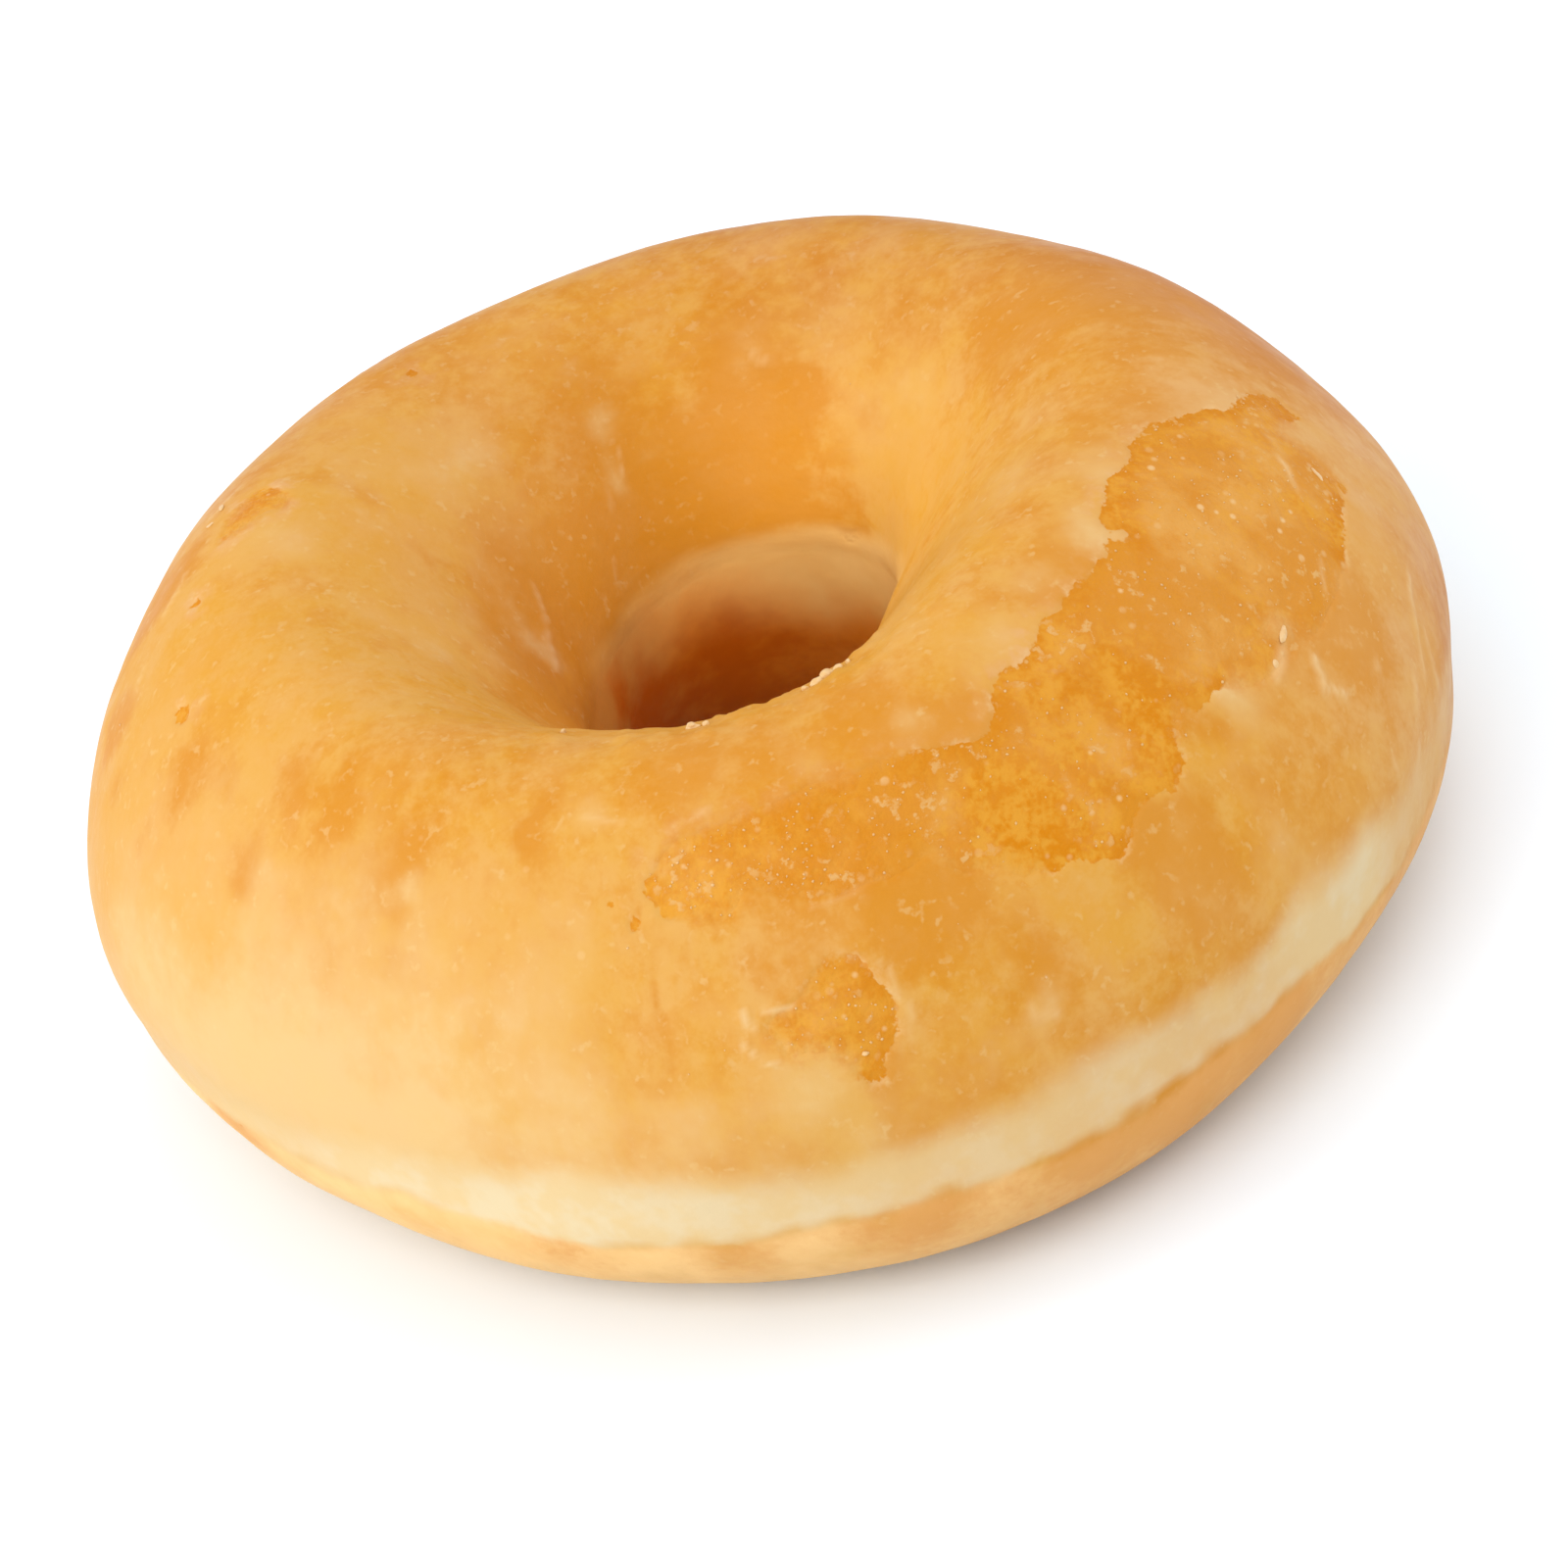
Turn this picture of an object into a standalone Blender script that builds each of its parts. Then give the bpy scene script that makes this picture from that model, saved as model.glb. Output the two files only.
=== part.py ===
"""A plain ring doughnut of raised, fried dough, in one solid that rests on its flat foot.

The ring is a closed surface of two angles. The azimuth runs round the hole, from +X towards +Y. The section
angle runs round the dough itself: 0 degrees at the outer waist, 90 at the crest, 180 at the waist of the hole
and -90 at the foot. Lengths are in metres and angles in degrees. The origin is the middle of the foot.
"""
import bpy
import numpy as np

# Outline from above: outer and hole radius, each with slow waves (count round the ring, size, azimuth of a crest)
OUTER_RADIUS = 0.0442
OUTER_WAVES = ((2, 0.00087, -42.0), (3, 0.00047, 47.0), (4, 0.00076, 0.0))
HOLE_RADIUS = 0.0115
HOLE_WAVES = ((1, 0.0015, 112.0), (2, 0.0023, 70.0))

# Side view: height of the crest, and of the waists where the ring is widest and the hole is narrowest
CREST_HEIGHT = 0.0358
CREST_WAVES = ((2, 0.00126, -17.0),)
OUTER_WAIST_HEIGHT = 0.01465
HOLE_WAIST_HEIGHT = 0.0188

# Roundness of the section: 0 is an ellipse, more is slimmer towards the crest or the foot, less is fuller
OUTER_SLIMNESS = 0.23
HOLE_SLIMNESS = 0.45
UNDERSIDE_SLIMNESS = -0.21
FOOT_PRESS = 0.00075

# Pale line where the dough floated in the fat: a shallow groove round the outside and another inside the hole
FLOAT_LINE_DEPTH = 0.00030
FLOAT_LINE_HALF_WIDTH = 8.0
OUTER_FLOAT_LINE = -8.0
HOLE_FLOAT_LINE = 178.0

# Soft swells of the risen dough: (waves round the ring, waves round the section, size, shift)
SWELLS = ((3, 2, 0.00018, 40.0), (5, -3, 0.00012, 200.0), (7, 4, 0.00010, 310.0), (11, -5, 0.00006, 95.0))

# Places where the thin sugar skin has flaked off: (azimuth, lower edge, upper edge) along each one
FLAKE_DEPTH = 0.00028
FLAKE_EDGE = 3.0
FRONT_FLAKE = (
    (-107, 61, 63), (-102, 56, 70), (-96, 57, 73), (-89, 53, 75), (-81, 52, 72), (-76, 48, 71), (-71, 41, 66),
    (-66, 36, 70), (-58, 39, 75), (-53, 47, 75), (-48, 42, 75), (-35, 36, 78), (-26, 38, 80), (-20, 40, 77),
    (-16, 41, 66), (-12, 50, 60), (-8, 54, 56),
)
SMALL_FLAKE = ((-95, 34, 36), (-92, 26, 41), (-88, 25, 42), (-85, 33, 36))
LEFT_FLAKE = ((151, 78, 80), (156, 70, 88), (164, 60, 86), (172, 56, 78), (180, 52, 74), (186, 60, 68))
BACK_FLAKE = ((58, 52, 54), (64, 44, 60), (72, 41, 66), (80, 46, 62), (87, 52, 56))

AZIMUTH_STEPS = 100
SECTION_STEPS = 56

CRUST_COLOUR = (0.79, 0.38, 0.095, 1.0)
CRUST_ROUGHNESS = 0.42


def wave_sum(base, waves, azimuth):
    """The base length plus one cosine round the ring for each (count, size, azimuth of a crest)."""
    total = np.full_like(azimuth, base)
    for count, size, crest in waves:
        total = total + size * np.cos(count * np.radians(azimuth - crest))
    return total


def rise(sine, slimness):
    """Share of the way from waist to crest or foot: a straight and a cubed sine, mixed by the slimness."""
    return (1.0 - slimness) * sine + slimness * sine ** 3


def turned(angle, middle):
    """How far an angle is from a middle angle, between -180 and 180 degrees."""
    return (angle - middle + 180.0) % 360.0 - 180.0


def flake_share(places, azimuth, section):
    """1 inside a flaked place and 0 outside, with a soft edge; its two edges are straight between the points."""
    angles, lower, upper = np.array(places, dtype=float).T
    middle = 0.5 * (angles[0] + angles[-1])
    along = turned(azimuth, middle)
    low = np.interp(along, angles - middle, lower)
    high = np.interp(along, angles - middle, upper)
    inside = np.minimum(section - low, high - section)
    share = np.clip(inside / FLAKE_EDGE, 0.0, 1.0)
    past_ends = (along < angles[0] - middle) | (along > angles[-1] - middle)
    return np.where(past_ends, 0.0, share)


def relief(azimuth, section):
    """Height over the smooth ring: soft swells, less the two float lines and the flaked places."""
    height = np.zeros_like(azimuth)
    for round_ring, round_section, size, shift in SWELLS:
        height += size * np.cos(np.radians(round_ring * azimuth + round_section * section + shift))
    for line in (OUTER_FLOAT_LINE, HOLE_FLOAT_LINE):
        height -= FLOAT_LINE_DEPTH * np.exp(-(turned(section, line) / FLOAT_LINE_HALF_WIDTH) ** 2)
    for places in (FRONT_FLAKE, SMALL_FLAKE, LEFT_FLAKE, BACK_FLAKE):
        height -= FLAKE_DEPTH * flake_share(places, azimuth, section)
    return height


def ring_points(azimuth, section):
    """Points of the ring: a section swept round the hole, its radius from a cosine, its height from rise()."""
    outer = wave_sum(OUTER_RADIUS, OUTER_WAVES, azimuth)
    hole = wave_sum(HOLE_RADIUS, HOLE_WAVES, azimuth)
    crest = wave_sum(CREST_HEIGHT, CREST_WAVES, azimuth)
    cosine = np.cos(np.radians(section))
    sine = np.sin(np.radians(section))
    inward = 0.5 * (1.0 - cosine)
    waist = OUTER_WAIST_HEIGHT + (HOLE_WAIST_HEIGHT - OUTER_WAIST_HEIGHT) * inward
    slimness = OUTER_SLIMNESS + (HOLE_SLIMNESS - OUTER_SLIMNESS) * inward
    bump = relief(azimuth, section)
    radius = 0.5 * (outer + hole) + (0.5 * (outer - hole) + bump) * cosine
    above = waist + (crest - waist) * rise(sine, slimness)
    below = waist + (waist + FOOT_PRESS) * rise(sine, UNDERSIDE_SLIMNESS)
    height = np.where(sine >= 0.0, above, below) + bump * sine
    x = radius * np.cos(np.radians(azimuth))
    y = radius * np.sin(np.radians(azimuth))
    return np.stack([x, y, np.maximum(height, 0.0)], axis=-1)


def ring_mesh(name):
    """A closed grid of four-sided faces over both angles, facing out, with its outline centred on the origin."""
    azimuth, section = np.meshgrid(
        np.arange(AZIMUTH_STEPS) * 360.0 / AZIMUTH_STEPS,
        np.arange(SECTION_STEPS) * 360.0 / SECTION_STEPS - 180.0,
        indexing="ij",
    )
    points = ring_points(azimuth, section).reshape(-1, 3)
    points[:, :2] -= 0.5 * (points[:, :2].max(axis=0) + points[:, :2].min(axis=0))
    index = np.arange(AZIMUTH_STEPS * SECTION_STEPS).reshape(AZIMUTH_STEPS, SECTION_STEPS)
    next_azimuth = np.roll(index, -1, axis=0)
    next_section = np.roll(index, -1, axis=1)
    next_both = np.roll(next_azimuth, -1, axis=1)
    faces = np.stack([index, next_azimuth, next_both, next_section], axis=-1).reshape(-1, 4)
    mesh = bpy.data.meshes.new(name)
    mesh.from_pydata(points.tolist(), [], faces.tolist())
    mesh.shade_smooth()
    return mesh


def crust_material():
    """Golden fried crust under a thin sugar skin."""
    material = bpy.data.materials.new("fried_crust")
    material.use_nodes = True
    shader = material.node_tree.nodes["Principled BSDF"]
    shader.inputs["Base Color"].default_value = CRUST_COLOUR
    shader.inputs["Roughness"].default_value = CRUST_ROUGHNESS
    shader.inputs["Metallic"].default_value = 0.0
    return material


def main():
    """Clear the scene and add the one solid."""
    for old in list(bpy.data.objects):
        bpy.data.objects.remove(old, do_unlink=True)
    mesh = ring_mesh("doughnut")
    mesh.materials.append(crust_material())
    doughnut = bpy.data.objects.new("doughnut", mesh)
    bpy.context.scene.collection.objects.link(doughnut)


main()
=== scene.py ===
"""Looks of a plain ring doughnut: fried crust under a thin sugar glaze that has flaked off in places.

The ring is a closed surface of two angles. The azimuth runs round the hole, from +X towards +Y. The section
angle runs round the dough itself: 0 degrees at the outer waist, 90 at the crest, 180 at the waist of the hole
and -90 at the foot. Lengths are in metres, angles in degrees, and colours are linear.
"""

import bpy
import numpy as np
from bpy.props import FloatProperty, FloatVectorProperty, IntProperty, PointerProperty
from mathutils import Matrix, Vector


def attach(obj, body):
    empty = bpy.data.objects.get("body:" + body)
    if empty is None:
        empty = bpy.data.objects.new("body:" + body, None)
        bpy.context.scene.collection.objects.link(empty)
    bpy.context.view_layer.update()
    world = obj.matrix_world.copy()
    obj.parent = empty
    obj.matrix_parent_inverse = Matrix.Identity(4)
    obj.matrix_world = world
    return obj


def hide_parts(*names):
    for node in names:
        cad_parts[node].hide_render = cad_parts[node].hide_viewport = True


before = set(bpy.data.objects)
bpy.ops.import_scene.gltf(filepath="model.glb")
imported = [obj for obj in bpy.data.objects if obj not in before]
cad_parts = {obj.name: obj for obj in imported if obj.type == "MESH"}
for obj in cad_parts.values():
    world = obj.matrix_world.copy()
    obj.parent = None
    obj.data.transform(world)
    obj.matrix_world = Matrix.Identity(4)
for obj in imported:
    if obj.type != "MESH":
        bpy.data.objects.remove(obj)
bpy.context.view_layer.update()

bl_info = {
    "name": "Plain Ring Doughnut",
    "version": (1, 0, 0),
    "blender": (4, 5, 0),
    "location": "View3D > Sidebar > Doughnut",
    "description": "Adds a fried ring of dough with a partly flaked sugar glaze, its crumbs and a studio",
    "category": "Add Mesh",
}

MILLIMETRE = 0.001

# The ring, as in the solid: radii and crest height, each with slow waves (count, size, azimuth of a crest)
OUTER_RADIUS = 0.0442
OUTER_WAVES = ((2, 0.00087, -42.0), (3, 0.00047, 47.0), (4, 0.00076, 0.0))
HOLE_RADIUS = 0.0115
HOLE_WAVES = ((1, 0.0015, 112.0), (2, 0.0023, 70.0))
CREST_HEIGHT = 0.0358
CREST_WAVES = ((2, 0.00126, -17.0),)
OUTER_WAIST_HEIGHT = 0.01465
HOLE_WAIST_HEIGHT = 0.0188
# Roundness of the section: 0 is an ellipse, more is slimmer towards the crest or the foot, less is fuller
OUTER_SLIMNESS = 0.23
HOLE_SLIMNESS = 0.45
UNDERSIDE_SLIMNESS = -0.21
FOOT_PRESS = 0.00075
# Shallow grooves where the dough floated in the fat: outside, and in the hole
FLOAT_LINE_DEPTH = 0.00030
FLOAT_LINE_HALF_WIDTH = 8.0
OUTER_FLOAT_LINE = -8.0
HOLE_FLOAT_LINE = 178.0
# Soft swells of the risen dough: (waves round the ring, waves round the section, size, shift)
SWELLS = ((3, 2, 0.00018, 40.0), (5, -3, 0.00012, 200.0), (7, 4, 0.00010, 310.0), (11, -5, 0.00006, 95.0))
SOLID_AZIMUTH_STEPS = 100
SOLID_SECTION_STEPS = 56

# Grid of the crust and of the glaze, finer in some ranges (first angle, last angle, times finer)
AZIMUTH_STEPS = 452
SECTION_STEPS = 220
FINER_AZIMUTHS = ((-114.0, -2.0, 1.9), (148.0, 188.0, 1.3))
FINER_SECTIONS = ((20.0, 84.0, 2.1), (-24.0, 10.0, 1.3), (-130.0, -55.0, 0.5))
RANGE_EDGE = 8.0

# Places where the glaze has flaked off: (azimuth, lower edge, upper edge) along each one
FRONT_FLAKE = (
    (-105, 60, 62), (-104, 57, 65), (-101, 55, 70), (-98, 54, 72), (-96, 57, 72), (-91, 54, 72),
    (-88, 53, 74), (-83, 53, 72), (-79, 52, 72), (-76, 48, 69), (-73, 44, 67), (-71, 41, 66), (-68, 40, 69),
    (-65, 37, 72), (-60, 40, 73), (-57, 40, 75), (-55, 42, 75), (-53, 48, 75), (-48, 45, 75), (-42, 40, 76),
    (-37, 38, 79), (-32, 37, 81.5), (-24, 39, 81.5), (-19, 40, 79), (-15, 41, 70), (-13, 54, 66),
    (-8, 51, 60), (-6, 54, 55),
)
SMALL_FLAKE = (
    (-97, 31, 33), (-95, 27, 36), (-93, 26, 38), (-91.5, 24, 41), (-90.5, 17, 42), (-89.5, 17, 42),
    (-88.5, 22, 41), (-87.5, 27, 38), (-87, 33, 34),
)
LEFT_FLAKE = (
    (156, 86, 88), (158, 82, 92), (161, 80, 93), (164, 80, 86), (166, 80, 82),
)
BACK_FLAKE = (
    (58, 52, 54), (64, 44, 60), (72, 41, 66), (80, 46, 62), (87, 52, 56),
)
FLAKES = (FRONT_FLAKE, SMALL_FLAKE, LEFT_FLAKE, BACK_FLAKE)
# Small round ones, and chips of glaze left inside the large ones: (azimuth, section, radius in millimetres)
BARE_SPOTS = (
    (-109, 58, 0.5), (-107, 54, 0.3), (-91, 20, 0.3), (123, 71, 0.5), (124, 92, 0.4), (166, 45, 0.4),
    (174, 41, 0.5), (-157, -15, 0.4), (-171, 64, 0.5), (175, 75, 0.4),
)
LEFT_CHIPS = (
    (-37, 42, 0.6), (-40, 74, 0.6),
)
# Where the edge of the glaze fades instead of breaking: (azimuth, section, radius in millimetres)
SOFT_EDGES = (
    (-89, 53, 3), (-81, 52, 3.5), (-73, 44, 2.5), (-31, 42, 5), (-41, 45, 3.5), (-98, 56, 3), (-14, 52, 3),
    (163, 91, 3), (-53, 46, 1.5), (-96, 30, 2.6), (-93, 25, 1.8), (-82, 72, 3), (-92, 73, 2.6),
    (-101, 71, 2.4),
)

# Toasted spots of the crust, some of them painted shade, and creamy ones: (azimuth, section, radius in
# millimetres, strength)
# Painted shade among them: the wide spots at sections 150 to 165 from 110 degrees round to -163, in the left
# end of the hole, and those at sections 72 to 84 along the back's outline
TOAST_AND_PAINTED_SHADE_SPOTS = (
    (168, 63, 2.2, 0.85), (178, 50, 2, 0.9), (-175, 42, 1.6, 0.5), (163, 70, 2, 0.7), (152, 104, 1.6, 0.5),
    (177, 93, 3, 0.45), (160, 121, 1.2, 0.4), (-172, 101, 1.4, 0.4), (-165, 108, 1.2, 0.35),
    (-178, 118, 1.2, 0.35), (125, 118, 3.5, 0.2), (130, 127, 2, 0.2), (152, 140, 2.2, 0.35),
    (131, 152, 3, 0.5), (112, 158, 3, 0.6), (145, 158, 4, 0.5), (-117, 81, 1.2, 0.55), (-118, 73, 1, 0.65),
    (-117, 66, 1.4, 0.35), (-143, 73, 1.2, 0.45), (-149, 69, 1.6, 0.45), (-142, 64, 1.2, 0.35),
    (-132, 61, 2.2, 0.5), (-133, 55, 1.2, 0.35), (-165, 60, 1.6, 0.45), (-164, 52, 1.2, 0.5),
    (-152, 49, 1.4, 0.85), (-153, 55, 1.6, 0.4), (-166, 39, 1.6, 0.35), (-160, 62, 1.8, 0.3),
    (-141, 37, 1.6, 0.35), (-132, 38, 1.6, 0.35), (-123, 34, 1.6, 0.22), (-112, 30, 1.8, 0.22),
    (-106, 34, 2.6, 0.18), (-105, 27, 1.6, 0.12), (-102, 31, 1.6, 0.15), (-149, 35, 1.6, 0.25),
    (-158, -8, 2.6, 0.8), (-150, 2, 2, 0.35), (-144, -3, 1.8, 0.2), (-133, 2, 3, 0.25), (-121, 3, 3, 0.28),
    (-112, 3, 3.2, 0.34), (-101, 3, 3.2, 0.36), (-97, 2, 2.2, 0.25), (-88, 9, 2.4, 0.28), (-82, 8, 3, 0.45),
    (-74, 9, 3, 0.4), (-66, 9, 2.8, 0.3), (-58, 10, 2.8, 0.3), (-51, 11, 2.8, 0.3), (-45, 12, 2.2, 0.3),
    (-110, 16, 2, 0.2), (-106, 20, 2, 0.15), (-125, 13, 2, 0.15), (-131, 21, 2, 0.15), (-89, 19, 1.6, 0.4),
    (-95, 44, 1.6, 0.4), (-82, 45, 2.8, 1.3), (-83, 51, 1.4, 0.35), (-76, 27, 2.2, 0.5), (-73, 29, 2.4, 0.2),
    (-62, 34, 2.6, 1), (-58, 27, 1.8, 0.6), (-61, 20, 1.8, 0.5), (-57, 25, 2.4, 0.35), (-66, -11, 3, 0.8),
    (-75, -15, 2.6, 0.6), (-88, -17, 2.2, 0.5), (-93, -20, 2.4, 0.4), (-56, -14, 3, 0.6),
    (-104, -24, 3, 0.35), (-120, -22, 3, 0.35), (-69, 68, 1.6, 0.9), (-72, 70, 1.4, 0.6), (-62, 44, 1, 0.8),
    (-40, 57, 1.4, 1), (-36, 53, 0.8, 0.7), (-27, 45, 2.2, 0.35), (-29, 65, 2, 0.3), (-31, 79, 0.8, 0.6),
    (-27, 79, 0.8, 0.4), (-22, 66, 1.4, 0.5), (-17, 50, 1.4, 0.5), (-42, 68, 2.2, 0.45), (-47, 72, 2, 0.5),
    (-46, 64, 1.8, 0.35), (-53, 46, 1.2, 0.6), (-50, 42, 1, 0.5), (-57, 60, 1.6, 0.4), (-58, 92, 2.2, 0.35),
    (-40, 97, 1.6, 0.4), (-28, 93, 2.4, 0.3), (-33, 84, 1, 0.4), (-102, 85, 2.6, 0.4), (-92, 88, 2, 0.3),
    (-80, 88, 2.6, 0.25), (76, 117, 2.4, 0.4), (104, 121, 4, 0.5), (88, 136, 1.4, 0.4), (47, 134, 1.4, 0.5),
    (62, 104, 2.2, 0.35), (18, 110, 2, 0.3), (20, 104, 1.6, 0.25), (53, 162, 2.2, 0.6), (88, 161, 3, 0.6),
    (100, 162, 2.2, 0.5), (66, 128, 1.2, 0.5), (64, 134, 1, 0.4), (60, 78, 5, 0.25), (80, 80, 5, 0.25),
    (110, 84, 5, 0.3), (-105, 82, 11, 0.3), (-134, 70, 9, 0.28), (150, 158, 6, 0.8), (112, 156, 5, 0.35),
    (166, 158, 5, 0.75), (180, 156, 4.5, 0.6), (138, 164, 4, 0.6), (35, 100, 7, 0.3), (85, 106, 7, 0.15),
    (-44, 32, 7, 0.42), (-30, 26, 6, 0.3), (-92, 62, 5, 0.45), (95, 158, 6, 0.35), (100, 148, 5, 0.25),
    (-166, 60, 5, 0.28), (-141, 58, 6, 0.3), (-20, 92, 7, 0.34), (5, 90, 8, 0.36), (-64, 68, 3, 0.5),
    (-52, 68, 3, 0.3), (25, 84, 7, 0.3), (-48, 84, 4, 0.25), (-84, 66, 4, 0.3), (-90, 33, 3, 0.35),
    (130, 78, 5, 0.3), (2, 56, 2, 0.45), (8, 62, 2.6, 0.4), (-8, 60, 2.2, 0.35), (0, 95, 5, 0.25),
    (15, 75, 5, 0.3), (-14, 48, 1.8, 0.4), (12, 95, 3, 0.3), (-4, 80, 2, 0.3), (95, 92, 4, 0.25),
    (150, 80, 4, 0.3), (-76, 67, 4, 0.45), (-75, 84, 4, 0.3), (-45, 74, 4, 0.4), (-30, 35, 4, 0.6),
    (-15, 5, 6, 0.5), (0, 36, 6, 0.4), (3, 50, 4, 0.3), (15, 56, 6, 0.42), (30, 64, 5, 0.32),
    (46, 110, 3, 0.25), (75, 126, 4, 0.55), (75, 142, 4, 0.4), (70, 154, 4, 0.4), (118, 72, 5, 0.25),
    (138, 72, 5, 0.25), (120, 111, 5, 0.28), (-16, 80, 3, 0.4), (165, 52, 4, 0.35), (152, 66, 4, 0.3),
    (180, 154, 4, 0.4), (-163, 152, 4, 0.45), (152, 152, 4, 0.4), (-152, 140, 3, 0.35), (-15, 140, 3, 0.3),
    (-88, 4, 3, 0.3), (72, 189, 1.6, 0.6), (92, 188, 3, 0.5), (110, 186, 3, 0.4), (60, 192, 2, 0.4),
)
# Painted light among the creamy spots: the wide ones low on the lit left side, from -125 to -160 degrees, and
# a painted highlight at (35, 129) and (45, 118) on the far wall of the hole
CREAM_AND_PAINTED_LIGHT_SPOTS = (
    (-146, 10, 10, 0.3), (-125, 24, 7, 0.2), (-160, 12, 7, 0.22), (-145, 40, 6, 0.25), (-42, 55, 5, 0.35),
    (-94, 27, 3, 0.35), (-116, 44, 4, 0.22), (-127, 42, 3.5, 0.2), (-133, 50, 3, 0.06), (-172, 52, 4, 0.12),
    (178, 57, 2.5, 0.35), (170, 92, 3, 0.3), (157, 93, 3, 0.2), (-158, 66, 3, 0.2), (-137, 66, 2.2, 0.2),
    (-130, 58, 1.2, 0.4), (35, 129, 5, 0.22), (45, 118, 5, 0.1), (62, 114, 2.2, 0.15), (74, 118, 2.2, 0.15),
    (107, 139, 1.4, 0.4), (118, 157, 1.6, 0.2), (104, 126, 1.2, 0.4), (128, 118, 3, 0.2),
    (165, 148, 1.8, 0.4), (-50, 12, 3, 0.2), (-76, 18, 1.2, 0.35), (-66, 30, 3, 0.08), (-58, 36, 2.5, 0.1),
    (-165, 126, 5, 0.18), (180, 126, 6, 0.18), (150, 124, 5, 0.18), (134, 126, 4, 0.16), (-60, 21, 3, 0.15),
    (-45, 50, 3, 0.45), (-134, 26, 5, 0.14), (-15, 66, 3, 0.35), (-166, 40, 5, 0.12), (-64, 80, 3, 0.2),
    (-30, 108, 4, 0.3), (60, 128, 4, 0.08), (115, 97, 5, 0.16), (140, 97, 5, 0.16), (-115, 95, 5, 0.14),
    (70, 100, 5, 0.14), (50, 140, 3, 0.14), (90, 132, 3, 0.14), (105, 108, 3, 0.16), (-12, 55, 3, 0.3),
    (95, 60, 6, 0.2), (140, 40, 7, 0.2), (-30, 82, 1.6, 0.4), (-42, 80, 1.8, 0.45), (-50, 82, 1.6, 0.35),
    (-60, 80, 1.6, 0.3), (-75, 76, 1.6, 0.35), (-88, 76, 1.4, 0.35), (-98, 74, 1.4, 0.4),
    (-110, 76, 1.2, 0.4), (-30, 57, 5, 0.5), (-27, 44, 2, 0.6), (-32, 46, 1.8, 0.5), (-24, 62, 3, 0.35),
    (-35, 64, 2.5, 0.3), (-48, 60, 3, 0.12), (-66, 56, 2.6, 0.4), (-76, 58, 2.4, 0.35), (-60, 50, 2.2, 0.3),
    (-18, 52, 1.8, 0.5),
)
# Painted shade along the back's outline and in the hole, and darker, browner places on the right side:
# (azimuth, section, radius in millimetres, strength)
SHADED_SPOTS = (
    (62, 70, 8, 0.9), (80, 72, 7, 0.8), (98, 72, 6, 0.45), (44, 68, 7, 0.6), (28, 66, 6, 0.55),
    (5, 44, 6, 0.75), (18, 50, 6, 0.9), (-12, 4, 6, 0.9), (120, 73, 6, 0.35), (140, 71, 6, 0.35),
    (158, 160, 6, 0.5), (-178, 168, 4, 0.6),
)
# How much longer the spots are along the section, and how far noise of what size bends their places
SPOT_STRETCH = 1.5
SPOT_BEND = 0.0012
SPOT_BEND_SIZE = 0.0035
# Slim ring that the mottling is read from: its radius, its section's, and the pull on the side of the hole
SLIM_RING_RADIUS = 0.0275
SLIM_SECTION_RADIUS = 0.0145
SLIM_HOLE_PULL = 0.005

# Pale lines, outside and in the hole, where the dough floated: (azimuth, first edge, last edge, share)
OUTER_LINE = (
    (-170, -14, -8, 0.15), (-150, -14, -6, 0.4), (-143, -15, -6, 0.75), (-135, -13, -2, 0.95),
    (-126, -15, -2, 1), (-117, -19, -1, 1), (-101, -17, -2.5, 0.85), (-91, -14.5, -3, 0.7),
    (-82, -15, 1, 0.68), (-72, -17.5, 1.5, 0.72), (-59, -15, -1, 0.64), (-52, -13.5, 5, 0.86),
    (-42, -16, 4, 0.95), (-37, -17, 0, 0.45), (-28, -16, -2, 0.22), (0, -16, 0, 0.35), (60, -15, 1, 0.8),
    (120, -16, 2, 0.7),
)
HOLE_LINE = (
    (-160, 165, 178, 0.3), (-60, 164, 184, 0.8), (-12, 150, 184, 0.8), (14, 152, 182, 0.8),
    (28, 156, 182, 0.9), (45, 161, 187, 1), (66, 163, 190, 0.95), (83, 166, 187, 0.8), (100, 167, 183, 0.65),
    (113, 167, 183, 0.5), (128, 167, 180, 0.4), (142, 166, 178, 0.25), (160, 164, 174, 0), (175, 160, 172, 0),
)
# How far, in degrees, their edges wander, and the noise sizes of that and of the torn lower edge
LINE_WANDER = 2.4
WANDER_SIZES = (0.006, 0.0022)
TEAR_SIZES = (0.0045, 0.0015)
# Creamy dough over the outer line, partly painted light: its height, its least and most share, and the lit
# azimuth where it is most
HALO_HEIGHT = 48.0
HALO_SHARE = (0.10, 0.44)
HALO_LIGHT_AZIMUTH = -148.0
# Brown lower wall of the hole, partly the fried wall's colour and partly painted shade: its middle azimuth,
# where the hole is darkest, its least share, a notch (azimuth, half width, depth), the sections where it
# ends, and the azimuths over which its upper part turns from the orange of deep shade to tan at the lit end
BROWN_WALL_AZIMUTH = 110.0
BROWN_WALL_LEAST = 0.3
BROWN_WALL_NOTCH = (170.0, 22.0, 0.25)
BROWN_WALL_END = (75.0, 95.0)
BROWN_WALL_LAST = 285.0
HOLE_END_AZIMUTHS = (-80.0, -56.0)
# Brown line over the pale one: its middle section, half width and strength
BROWN_LINE = (5.0, 4.5, 0.16)
# Browner right side below it: middle azimuth, cosines and degrees over which it comes in, and strength
RIGHT_SIDE_AZIMUTH = 20.0
RIGHT_SIDE_COSINES = (-0.75, 0.1)
RIGHT_SIDE_DEPTHS = (4.0, 14.0)
RIGHT_SIDE_TOAST = 0.32
# Toast of a sunk crease, and slow noise in the toast: its size and height
SUNK_TOAST = 0.4
SLOW_TOAST_SIZE = 0.011
SLOW_TOAST = 0.10
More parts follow.
